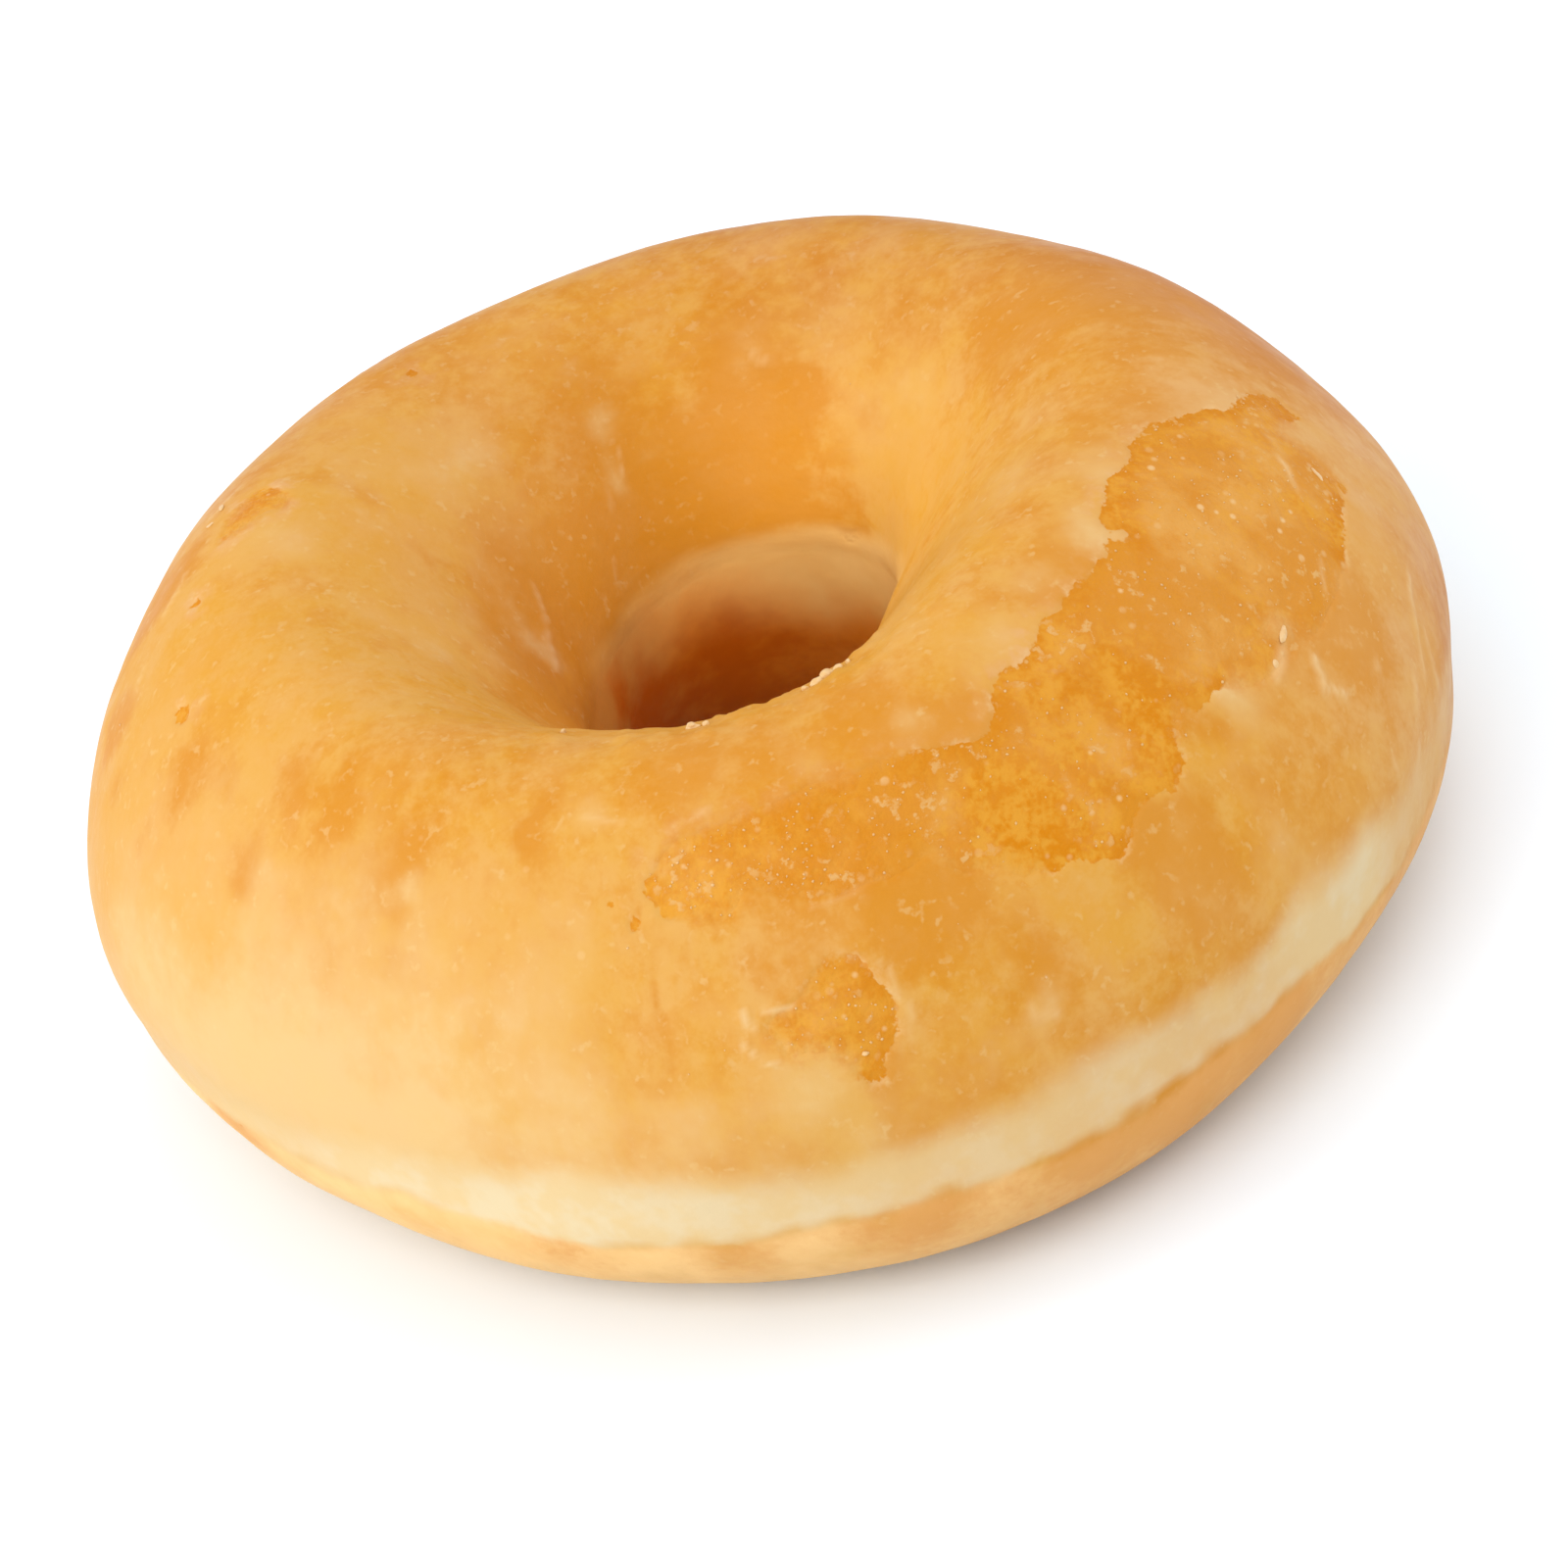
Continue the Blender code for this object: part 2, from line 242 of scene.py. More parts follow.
# Painted shade along the back's outline as the camera sees it, a darker line over the shoulder: how steeply
# it climbs round the ring, its half width, its share, and the cosines over which it comes in
SHOULDER_SLOPE = 1.48
SHOULDER_HALF_WIDTH = 9.0
SHOULDER_SHARE = 0.45
SHOULDER_COSINES = (-0.35, 0.1)
# Milky side of the glaze, partly a painted sheen where that side is seen at a grazing angle: its middle
# azimuth, the cosines over which it fades in, the sections over which it fades out, and its share
MILK_SHEEN_AZIMUTH = 2.0
MILK_SHEEN_COSINES = (0.50, 0.95)
MILK_SHEEN_SECTIONS = (72.0, 100.0)
MILK_SHEEN_SHARE = 0.40
# Painted light on the side of the hole that faces the lamps: its middle azimuth, the cosines and the sections
# over which it fades in, and the sections over which it fades out
PAINTED_LIGHT_AZIMUTH = 30.0
PAINTED_LIGHT_COSINES = (0.2, 0.8)
PAINTED_LIGHT_SECTIONS = (100.0, 150.0)
PAINTED_LIGHT_ENDS = (250.0, 290.0)
# Whiter glaze beside the flaked places: distances and sections over which it comes in, and its shares
RIM_HALO_REACH = (-0.0024, -0.0002)
RIM_HALO_SECTIONS = (58.0, 74.0)
RIM_HALO_SHARE = (0.12, 0.40)
# Grains of sugar: shares on the glaze and on bare crust, more at the left end of the long flaked place, and
# the noise sizes of their clusters on bare crust and on the glaze
GLAZE_GRAINS = (0.02, 0.10)
BARE_GRAINS = (0.10, 0.45)
LEFT_END_GRAINS = 0.2
LEFT_END_AZIMUTH = -94.0
CLUSTER_SIZE = 0.0045
SPARSE_SIZE = 0.006

# Height of a crease that is fully pale, the share of its half width that is used, and the noise that bends it
CREASE_HEIGHT = 0.0001
CREASE_NARROWING = 0.8
CREASE_BEND = 0.00035
CREASE_BEND_SIZE = 0.0016
# Creases of the glaze, pale and raised or, where the height is below 0, toasted and sunk:
# (first azimuth, first section, last azimuth, last section, half width and height in millimetres)
CREASES = (
    (-18, 23, -22, 18, 0.32, 0.14), (-22, 18, -25, 10, 0.3, 0.14), (-21, 15, -23, 4, 0.3, 0.09),
    (-27, 13, -31, 0, 0.32, 0.1), (-35, 3, -35, 13, 0.3, 0.08), (-36, 34, -38, 31, 0.34, 0.17),
    (-38, 40, -41, 38.5, 0.55, 0.12), (-38, 31, -36, 27, 0.28, 0.15), (-27, 42, -31, 37, 0.28, 0.08),
    (-17, 55, -20, 50, 0.32, 0.15), (-15, 58, -16, 54, 0.24, 0.07), (-33, 33, -31, 30, 0.24, 0.07),
    (-30, 24, -33, 20, 0.26, 0.06), (-86, 24, -85.5, 31, 0.26, 0.08), (-85.5, 31, -87, 40, 0.26, 0.08),
    (-87, 40, -90, 43, 0.24, 0.06), (-99, 36, -98, 33, 0.22, 0.15), (-99, 31, -98, 28, 0.22, 0.14),
    (-97, 36, -95, 35, 0.22, 0.13), (-98, 27, -96, 26, 0.2, 0.13), (-96, 31, -95, 27, 0.2, 0.13),
    (-80, 31, -79, 27, 0.22, 0.05), (-112, 76, -108, 75, 0.26, 0.07), (-103, 72, -98, 75, 0.26, 0.06),
    (-77, 20, -75, 17, 0.45, 0.09), (-91, 52, -84, 52, 0.24, 0.05), (-104, 64, -101, 68, 0.24, 0.05),
    (102, 133, 104, 138, 0.3, 0.1), (108, 138, 110, 144, 0.26, 0.09), (117, 154, 120, 158, 0.24, 0.05),
    (73, 119, 71, 122, 0.26, 0.08), (146, 143, 155, 150, 0.3, 0.1), (155, 150, 170, 155, 0.3, 0.1),
    (154, 78, 158, 74, 0.3, 0.1), (168, 72, 172, 66, 0.3, 0.09), (176, 62, 178, 57, 0.3, 0.1),
    (-106, 57, -106, 44, 0.22, -0.05), (-106, 44, -105, 27, 0.22, -0.05), (72, 125, 67, 131, 0.4, -0.09),
    (67, 131, 64, 140, 0.34, -0.08), (64, 140, 60, 147, 0.3, -0.06), (56, 166, 52, 168, 0.5, -0.12),
    (52, 168, 46, 164, 0.5, -0.12),
)

# Chips lying on the ring: (azimuth, section, length, width and thickness in millimetres, heading)
LAID_CHIPS = (
    (-100, 105, 0.9, 0.6, 0.26, 20), (-98, 105, 0.5, 0.4, 0.22, 70), (-81, 106, 1, 0.7, 0.28, 10),
    (-79, 107, 1.1, 0.8, 0.34, 50), (-77, 107, 0.8, 0.5, 0.26, 20), (-83, 105, 0.5, 0.4, 0.2, 60),
    (-75, 108, 0.5, 0.3, 0.18, 90), (-121, 108, 0.5, 0.3, 0.22, 80), (-37, 42, 1.2, 0.5, 0.09, 20),
    (-40, 40, 0.6, 0.4, 0.07, 70), (-90, 24, 0.4, 0.3, 0.16, 0), (-16, 47, 1, 0.4, 0.06, 60),
    (157, 76, 0.9, 0.4, 0.08, 30), (160, 75, 0.6, 0.4, 0.07, 80),
)
# Ragged lip on the near side of the hole: first and last azimuth, first and last section
LIP_RANGE = (-135.0, -55.0, 93.0, 118.0)
LIP_SIZES = (0.0014, 0.0007)
# Noise sizes of the ripples, of the ragged edges of the flaked places and of the pores, and the pores' depth
RIPPLE_SIZES = (0.0055, 0.0019)
RAGGED_SIZES = (0.0024, 0.0010)
PORE_SIZES = (0.0011, 0.0023)
PORE_DEPTH = 0.00005
# Distances from the edge of the glaze over which it drops under the crust, and of its curled rim
DROP_REACH = (-0.0002, 0.0004)
RIM_PLACE = -0.00045
RIM_HALF_WIDTH = 0.00035
RIM_CURL_SIZE = 0.0021
# A bare distance that is far from every flaked place, and the degrees round one in which it is worked out
FAR_FROM_FLAKES = -1.0
NEAR_AZIMUTH = 8.0
NEAR_SECTION = 12.0

# Crumbs: sections of the sparse ones, ranges and share of the dense ones, and places tried for each crumb
SPARSE_SECTIONS = (-20.0, 160.0)
DENSE_AZIMUTHS = (-108.0, -4.0)
DENSE_SECTIONS = (24.0, 82.0)
DENSE_SHARE = 0.8
TRIES_PER_CRUMB = 40
# Chance of a crumb on bare crust (least, more in clusters, more at the left end) and in clusters on the
# glaze, and the chance at which every one is kept
BARE_CHANCE = (0.25, 0.75, 1.2)
GLAZE_CHANCE = 0.06
FULL_CHANCE = 2.0
CRUMB_CLUSTER_SIZE = 0.0035
# Height and size of the lumps of crumbs and chips, as shares of their radius
LUMP_HEIGHT = 0.3
LUMP_SIZE = 0.9

# Sizes of the noises in the materials, of the grains of sugar and of the edge's tears
SLOW_SIZE = 0.010
MIDDLE_SIZE = 0.0038
BROKEN_SIZE = 0.0017
GRAIN_SIZE = 0.0008
FINE_SIZE = 0.0004
VEIL_SIZE = 0.0045
PATCH_SIZE = 0.0040
FROST_SIZE = 0.0007
SUGAR_CELL = 0.0010
COARSE_TEARS = 0.0009
FINE_TEARS = 0.0003
# Half widths over which the glaze ends, where its edge is crisp and where it is soft
CRISP_WIDTH = 0.00008
SOFT_WIDTH = 0.0016
# Most that a crease whitens, and the tints of the painted shade and of the painted light on the side of the
# hole
CREASE_SHARE = 0.36
SHADE_TINT = (0.86, 0.76, 0.86, 1.0)
PAINTED_LIGHT_TINT = (1.32, 1.38, 1.25, 1.0)
# Gloss of the crust, the glaze, the sugar and the floor
CRUST_GLOSS = {"Specular IOR Level": 0.04, "Coat Weight": 0.03, "Coat Roughness": 0.14}
GLAZE_GLOSS = {"Specular IOR Level": 0.04, "Coat Weight": 0.03, "Coat Roughness": 0.16, "Coat IOR": 1.45}
SUGAR_GLOSS = {"Specular IOR Level": 0.3, "Coat Weight": 0.15, "Coat Roughness": 0.12}
FLOOR_GLOSS = {"Roughness": 0.8, "Specular IOR Level": 0.1}

# Floor: its half width, its tint, and its speckle's depth and size
FLOOR_HALF_WIDTH = 2.5
FLOOR_TINT = (0.92, 1.0, 1.08)
FLOOR_SPECKLE = 0.005
FLOOR_SPECKLE_SIZE = 0.02
# Lamps, by name, azimuth and elevation, and the camera's target height, sensor width and shift
LAMPS = (("front", -112.0, 42.0), ("left", 180.0, 15.0), ("right", 0.0, 40.0), ("back", 45.0, 60.0))
LAMP_DISTANCE = 0.7
LAMP_SIZE = 0.5
TARGET_HEIGHT = 0.0158
SENSOR_WIDTH = 36.0
CAMERA_SHIFT = (0.0109, -0.0343)

# Cells of the noise's lattice along each axis, after which it repeats
NOISE_CELLS = 64


def wave_sum(base, waves, azimuth):
    """The base length plus one cosine round the ring for each (count, size, azimuth of a crest)."""
    total = np.full_like(azimuth, base)
    for count, size, crest in waves:
        total = total + size * np.cos(count * np.radians(azimuth - crest))
    return total


def rise(sine, slimness):
    """Share of the way from waist to crest or foot: a straight and a cubed sine, mixed by the slimness."""
    return (1.0 - slimness) * sine + slimness * sine ** 3


def turned(angle, middle):
    """How far an angle is from a middle angle, between -180 and 180 degrees."""
    return (angle - middle + 180.0) % 360.0 - 180.0


def smooth_step(value, low, high):
    """0 below low, 1 above high, and 3t^2 - 2t^3 between them."""
    share = np.clip((value - low) / (high - low), 0.0, 1.0)
    return share * share * (3.0 - 2.0 * share)


def bell(value, middle, half_width):
    """1 at the middle, falling off as exp(-t^2), with t the distance from it in half widths."""
    return np.exp(-((value - middle) / half_width) ** 2)


def facing(azimuth, middle, low, high):
    """How far a place of the ring faces an azimuth: a soft step over the cosine of the angle between them."""
    return smooth_step(np.cos(np.radians(azimuth - middle)), low, high)


def swell(azimuth, section):
    """Height over the smooth ring that crust and glaze share: soft swells, less the two float lines."""
    height = np.zeros_like(azimuth)
    for round_ring, round_section, size, shift in SWELLS:
        height = height + size * np.cos(np.radians(round_ring * azimuth + round_section * section + shift))
    for line in (OUTER_FLOAT_LINE, HOLE_FLOAT_LINE):
        height = height - FLOAT_LINE_DEPTH * bell(turned(section, line), 0.0, FLOAT_LINE_HALF_WIDTH)
    return height


def unshifted_points(azimuth, section, lift, lowest=0.0):
    """Points of the ring: a section swept round the hole, its radius from a cosine, its height from rise().

    The lift stands out along the section angle, on top of swell(), and nothing goes below the lowest height.
    """
    outer = wave_sum(OUTER_RADIUS, OUTER_WAVES, azimuth)
    hole = wave_sum(HOLE_RADIUS, HOLE_WAVES, azimuth)
    crest = wave_sum(CREST_HEIGHT, CREST_WAVES, azimuth)
    cosine = np.cos(np.radians(section))
    sine = np.sin(np.radians(section))
    inward = 0.5 * (1.0 - cosine)
    waist = OUTER_WAIST_HEIGHT + (HOLE_WAIST_HEIGHT - OUTER_WAIST_HEIGHT) * inward
    slimness = OUTER_SLIMNESS + (HOLE_SLIMNESS - OUTER_SLIMNESS) * inward
    bump = swell(azimuth, section) + lift
    radius = 0.5 * (outer + hole) + (0.5 * (outer - hole) + bump) * cosine
    above = waist + (crest - waist) * rise(sine, slimness)
    below = waist + (waist + FOOT_PRESS) * rise(sine, UNDERSIDE_SLIMNESS)
    height = np.where(sine >= 0.0, above, below) + bump * sine
    x = radius * np.cos(np.radians(azimuth))
    y = radius * np.sin(np.radians(azimuth))
    return np.stack([x, y, np.maximum(height, lowest)], axis=-1)


def middle_of_solid():
    """Middle of the outline of the solid's own grid, which the solid has on the origin."""
    azimuth, section = np.meshgrid(
        np.arange(SOLID_AZIMUTH_STEPS) * 360.0 / SOLID_AZIMUTH_STEPS,
        np.arange(SOLID_SECTION_STEPS) * 360.0 / SOLID_SECTION_STEPS - 180.0,
        indexing="ij",
    )
    points = unshifted_points(azimuth, section, 0.0)
    middle = 0.5 * (points.max(axis=(0, 1)) + points.min(axis=(0, 1)))
    middle[2] = 0.0
    return middle


MIDDLE = middle_of_solid()


def ring_points(azimuth, section, lift, lowest=0.0):
    """Points of the ring in the frame of the solid."""
    return unshifted_points(azimuth, section, lift, lowest) - MIDDLE


def unit(vectors):
    """The vectors at length 1."""
    return vectors / np.linalg.norm(vectors, axis=-1, keepdims=True)


def ring_axes(azimuth, section):
    """Unit vectors along the azimuth, along the section and outwards, from points a little to each side."""
    little = 0.25
    flat = np.zeros_like(azimuth)
    along = ring_points(azimuth + little, section, flat, -1.0)
    along = unit(along - ring_points(azimuth - little, section, flat, -1.0))
    across = ring_points(azimuth, section + little, flat, -1.0)
    across = unit(across - ring_points(azimuth, section - little, flat, -1.0))
    return along, across, unit(np.cross(along, across))


def noise(points, size, seed):
    """Smooth noise between -1 and 1: random values on a cubic lattice, blended from a cell's corners."""
    values = np.random.default_rng(seed).uniform(-1.0, 1.0, (NOISE_CELLS,) * 3)
    turn = np.array(Matrix.Rotation(0.7 + 0.9 * seed, 3, Vector((1.0, 0.6, 0.3)).normalized()))
    place = points @ turn.T / size + 0.37 * seed
    cell = np.floor(place).astype(int)
    part = place - cell
    weight = part ** 3 * (part * (part * 6.0 - 15.0) + 10.0)
    total = np.zeros(points.shape[:-1])
    for corner in np.ndindex(2, 2, 2):
        share = np.prod(np.where(np.array(corner) == 1, weight, 1.0 - weight), axis=-1)
        index = (cell + corner) % NOISE_CELLS
        total += share * values[index[..., 0], index[..., 1], index[..., 2]]
    return total


def two_noises(points, sizes, finer, seed):
    """Noise of the first size plus the finer share of noise of the second."""
    return noise(points, sizes[0], seed) + finer * noise(points, sizes[1], seed + 1)


def bend(points, reach, size, seed):
    """The points, each moved by noise of the size along every axis, as far as the reach."""
    return points + reach * np.stack([noise(points, size, seed + axis) for axis in range(3)], axis=-1)


def layered_noise(points, size, layers, seed):
    """Noise plus finer layers of it, each at half the size and half the height of the one before."""
    total = np.zeros(points.shape[:-1])
    for layer in range(layers):
        total += noise(points, size / 2 ** layer, seed + layer) / 2 ** layer
    return total


def flake_field(places, azimuth, section, points):
    """Distance in metres to the edge of one flaked place: above 0 inside, below 0 outside.

    The edge is drawn on the ring every half degree, and the distance is to the nearest straight piece of it.
    """
    angles, lower, upper = np.array(places, dtype=float).T
    middle = 0.5 * (angles[0] + angles[-1])
    along = turned(azimuth, middle)
    low = np.interp(along, angles - middle, lower)
    high = np.interp(along, angles - middle, upper)
    inside = (section > low) & (section < high)
    inside &= (along > angles[0] - middle) & (along < angles[-1] - middle)
    steps = np.linspace(angles[0], angles[-1], int(2 * (angles[-1] - angles[0])) + 1)
    edge_azimuth = np.concatenate([steps, steps[::-1], steps[:1]])
    edge_section = np.concatenate(
        [np.interp(steps, angles, lower), np.interp(steps[::-1], angles, upper), lower[:1]]
    )
    edge = ring_points(edge_azimuth, edge_section, np.zeros_like(edge_azimuth))
    near = (along > angles[0] - middle - NEAR_AZIMUTH) & (along < angles[-1] - middle + NEAR_AZIMUTH)
    near &= (section > lower.min() - NEAR_SECTION) & (section < upper.max() + NEAR_SECTION)
    field = np.full(azimuth.shape, FAR_FROM_FLAKES)
    close = points[near]
    best = np.full(len(close), 1.0)
    for start, end in zip(edge[:-1], edge[1:]):
        line = end - start
        share = np.clip((close - start) @ line / max(line @ line, 1e-18), 0.0, 1.0)
        best = np.minimum(best, np.linalg.norm(close - start - share[:, None] * line, axis=1))
    field[near] = np.where(inside[near], best, -best)
    return field


def distance_to(points, azimuth, section):
    """Distance of each point from one place of the ring."""
    centre = ring_points(np.array(float(azimuth)), np.array(float(section)), 0.0)
    return np.linalg.norm(points - centre, axis=-1)


def bare_field(azimuth, section, raggedness):
    """Distance in metres to the edge of the glaze: above 0 where the crust is bare, below 0 under glaze."""
    points = ring_points(azimuth, section, np.zeros_like(azimuth))
    field = np.full(azimuth.shape, FAR_FROM_FLAKES)
    for places in FLAKES:
        field = np.maximum(field, flake_field(places, azimuth, section, points))
    for *place, radius in BARE_SPOTS:
        field = np.maximum(field, radius * MILLIMETRE - distance_to(points, *place))
    for *place, radius in LEFT_CHIPS:
        field = np.minimum(field, distance_to(points, *place) - radius * MILLIMETRE)
    ragged = raggedness * two_noises(points, RAGGED_SIZES, 0.7, 11)
    return np.where(field > 0.5 * FAR_FROM_FLAKES, field + ragged, field)


def slim_points(azimuth, section):
    """Points of a round ring with a slim section, so that noise read there is longer along the section."""
    cosine = np.cos(np.radians(section))
    radius = SLIM_RING_RADIUS + SLIM_SECTION_RADIUS * cosine - SLIM_HOLE_PULL * smooth_step(-cosine, 0.0, 0.9)
    x = radius * np.cos(np.radians(azimuth))
    y = radius * np.sin(np.radians(azimuth))
    return np.stack([x, y, SLIM_SECTION_RADIUS * np.sin(np.radians(section))], axis=-1)


def spot_sum(spots, points, start):
    """The start plus a soft bump for each spot, longer along the section, its place bent by noise: 0 to 1."""
    bent = bend(points, SPOT_BEND, SPOT_BEND_SIZE, 21)
    azimuth, section, radius, strength = np.array(spots, dtype=float).T
    centres = ring_points(azimuth, section, np.zeros_like(azimuth))
    _, across, _ = ring_axes(azimuth, section)
    total = np.array(start)
    for centre, long_way, size, most in zip(centres, across, radius * MILLIMETRE, strength):
        away = bent - centre
        shortened = (1.0 - 1.0 / SPOT_STRETCH) * (away @ long_way)
        away = away - shortened[..., None] * long_way
        total = total + most * np.exp(-np.sum(away * away, axis=-1) / size ** 2)
    return np.clip(total, 0.0, 1.0)


def crease_fields(points):
    """Height of the creases at each point, and the share of pale and of toasted crease there.

    Each is a ridge along a straight line between two places of the ring: its height times exp(-(d/w)^2), with
    d the distance to the line, bent by noise, and w the half width.
    """
    bent = bend(points, CREASE_BEND, CREASE_BEND_SIZE, 24)
    azimuth, section, last_azimuth, last_section, half_width, height = np.array(CREASES, dtype=float).T
    starts = ring_points(azimuth, section, np.zeros_like(azimuth))
    ends = ring_points(last_azimuth, last_section, np.zeros_like(azimuth))
    widths = CREASE_NARROWING * half_width * MILLIMETRE
    lift, pale, toasted = (np.zeros(points.shape[:-1]) for _ in range(3))
    for start, end, width, most in zip(starts, ends, widths, height * MILLIMETRE):
        line = end - start
        share = np.clip((bent - start) @ line / (line @ line), 0.0, 1.0)
        near = np.exp(-np.sum((bent - start - share[..., None] * line) ** 2, axis=-1) / width ** 2)
        lift = lift + most * near
        if most > 0.0:
            pale = np.maximum(pale, near * most / CREASE_HEIGHT)
        else:
            toasted = np.maximum(toasted, near)
    return lift, pale, toasted


def line_edges(line, azimuth):
    """Lower edge, upper edge and share of a pale line at each azimuth, straight between its rows."""
    rows = np.array(line, dtype=float).T
    return [np.interp(azimuth, rows[0], row, period=360.0) for row in rows[1:]]


def pale_field(azimuth, section, points):
    """Share of the outer pale line, soft above and ragged below, and of the creamy dough over it, partly
    painted light.
    """
    wander = LINE_WANDER * two_noises(points, WANDER_SIZES, 0.5, 41)
    tear = LINE_WANDER * two_noises(points, TEAR_SIZES, 0.7, 43)
    below, above, share = line_edges(OUTER_LINE, azimuth)
    outer = turned(section, 0.0)
    line = share * smooth_step(above + wander - outer, -7.0, 5.0)
    line = line * smooth_step(outer - below - tear, -2.0, 2.5)
    least, most = HALO_SHARE
    # Painted light: the creamy dough is most on the lit left side
    halo = least + (most - least) * facing(azimuth, HALO_LIGHT_AZIMUTH, 0.0, 1.0)
    halo = halo * smooth_step(HALO_HEIGHT + 3.0 * wander - outer, 0.0, HALO_HEIGHT)
    halo = halo * smooth_step(outer - below, -6.0, 0.0)
    return line, spot_sum(CREAM_AND_PAINTED_LIGHT_SPOTS, points, halo)


def hole_fields(azimuth, section, points):
    """Share of the pale line in the hole, soft on both sides, and of the brown wall below it, partly painted
    shade.
    """
    wander = LINE_WANDER * two_noises(points, WANDER_SIZES, 0.5, 45)
    first, last, share = line_edges(HOLE_LINE, azimuth)
    inner = section % 360.0
    line = share * smooth_step(inner - first - wander, -2.0, 6.0)
    line = line * smooth_step(last + wander - inner, -9.0, 6.0)
    brown = smooth_step(inner - last - 2.0 * wander, -16.0, 12.0)
    full = facing(azimuth, BROWN_WALL_AZIMUTH, 0.3, 1.0)
    brown = brown * (BROWN_WALL_LEAST + (1.0 - BROWN_WALL_LEAST) * full)
    middle, half_width, depth = BROWN_WALL_NOTCH
    brown = brown * (1.0 - depth * bell(turned(azimuth, middle), 0.0, half_width))
    low, high = BROWN_WALL_END
    return line, brown * (inner < BROWN_WALL_LAST) * smooth_step(-turned(inner, 180.0), -high, -low)


def closer_steps(count, start, ranges):
    """Angles of a full turn from the start, closer in each range: equal steps of a summed density."""
    turn = np.linspace(0.0, 360.0, 3601)
    density = np.ones_like(turn)
    for first, last, times in ranges:
        from_middle = np.abs(turned(turn + start, 0.5 * (first + last)))
        share = smooth_step(0.5 * (last - first) + RANGE_EDGE - from_middle, 0.0, RANGE_EDGE)
        density += (times - 1.0) * share
    passed = np.concatenate([[0.0], np.cumsum(0.5 * (density[1:] + density[:-1]))])
    return start + np.interp(np.arange(count) / count, passed / passed[-1], turn)


def ring_grid():
    """Azimuth and section of each point of the shared grid, as flat arrays, and its four-sided faces."""
    azimuth, section = np.meshgrid(
        closer_steps(AZIMUTH_STEPS, -180.0, FINER_AZIMUTHS),
        closer_steps(SECTION_STEPS, -180.0, FINER_SECTIONS),
        indexing="ij",
    )
    index = np.arange(AZIMUTH_STEPS * SECTION_STEPS).reshape(AZIMUTH_STEPS, SECTION_STEPS)
    next_azimuth = np.roll(index, -1, axis=0)
    next_section = np.roll(index, -1, axis=1)
    next_both = np.roll(next_azimuth, -1, axis=1)
    faces = np.stack([index, next_azimuth, next_both, next_section], axis=-1).reshape(-1, 4)
    return azimuth.ravel(), section.ravel(), faces


def add_piece(name, points, faces, material, attributes=None):
    """A smooth mesh object at the origin that rides on the root body and point attributes."""
    mesh = bpy.data.meshes.new(name)
    mesh.from_pydata(points.reshape(-1, 3).tolist(), [], faces.tolist())
    mesh.shade_smooth()
    for key, values in (attributes or {}).items():
        kind, part = ("FLOAT_VECTOR", "vector") if values.ndim > 1 else ("FLOAT", "value")
        mesh.attributes.new(key, kind, "POINT").data.foreach_set(part, values.astype(np.float32).ravel())
    mesh.materials.append(material)
    piece = bpy.data.objects.new(name, mesh)
    bpy.context.scene.collection.objects.link(piece)
    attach(piece, "root")
    return piece


def add_node(tree, kind, values=None, **settings):
    """A shader node with its settings, and each named or numbered input set to a value or linked."""
    made = tree.nodes.new(kind)
    for key, value in settings.items():
        setattr(made, key, value)
    for key, value in (values or {}).items():
        if isinstance(value, bpy.types.NodeSocket):
            tree.links.new(value, made.inputs[key])
        else:
            made.inputs[key].default_value = value
    return made


def mix(tree, share, first, second, blend="MIX"):
    """Colour mixed from the first to the second by the share."""
    values = {0: share, 6: first, 7: second}
    return add_node(tree, "ShaderNodeMix", values, data_type="RGBA", blend_type=blend).outputs[2]


def step(tree, value, low, high, result_low=0.0, result_high=1.0):
    """A soft step of a value from low to high."""
    values = {"Value": value, "From Min": low, "From Max": high, "To Min": result_low, "To Max": result_high}
    return add_node(tree, "ShaderNodeMapRange", values, interpolation_type="SMOOTHSTEP").outputs["Result"]


def calculate(tree, operation, first, second=0.0):
    """A sum, product or other calculation with two values."""
    return add_node(tree, "ShaderNodeMath", {0: first, 1: second}, operation=operation).outputs[0]


def plus(tree, first, second):
    """Sum of two values."""
    return calculate(tree, "ADD", first, second)


def times(tree, first, second):
    """Product of two values."""
    return calculate(tree, "MULTIPLY", first, second)


def cloud(tree, place, size, detail=3.0, roughness=0.55, shift=0.0):
    """Noise with features about as long as the size, in metres, from a place in it that the shift picks."""
    moved = add_node(tree, "ShaderNodeVectorMath", {0: place, 1: (shift, shift, shift)}, operation="ADD")
    values = {"Vector": moved.outputs[0], "Scale": 1.0 / size, "Detail": detail, "Roughness": roughness}
    return add_node(tree, "ShaderNodeTexNoise", values).outputs["Fac"]


def named(tree, name, part="Fac"):
    """A point attribute of the piece."""
    return add_node(tree, "ShaderNodeAttribute", attribute_name=name).outputs[part]


def new_material(name):
    """An empty node material with its output, shader and Object coordinates."""
    material = bpy.data.materials.new(name)
    material.use_nodes = True
    tree = material.node_tree
    tree.nodes.clear()
    output = tree.nodes.new("ShaderNodeOutputMaterial")
    shader = tree.nodes.new("ShaderNodeBsdfPrincipled")
    tree.links.new(shader.outputs[0], output.inputs[0])
    place = tree.nodes.new("ShaderNodeTexCoord").outputs["Object"]
    return material, tree, shader, place


def set_plain(shader, values):
    """Set values that are the same all over on the shader's own sockets."""
    for name, value in values.items():
        shader.inputs[name].default_value = value


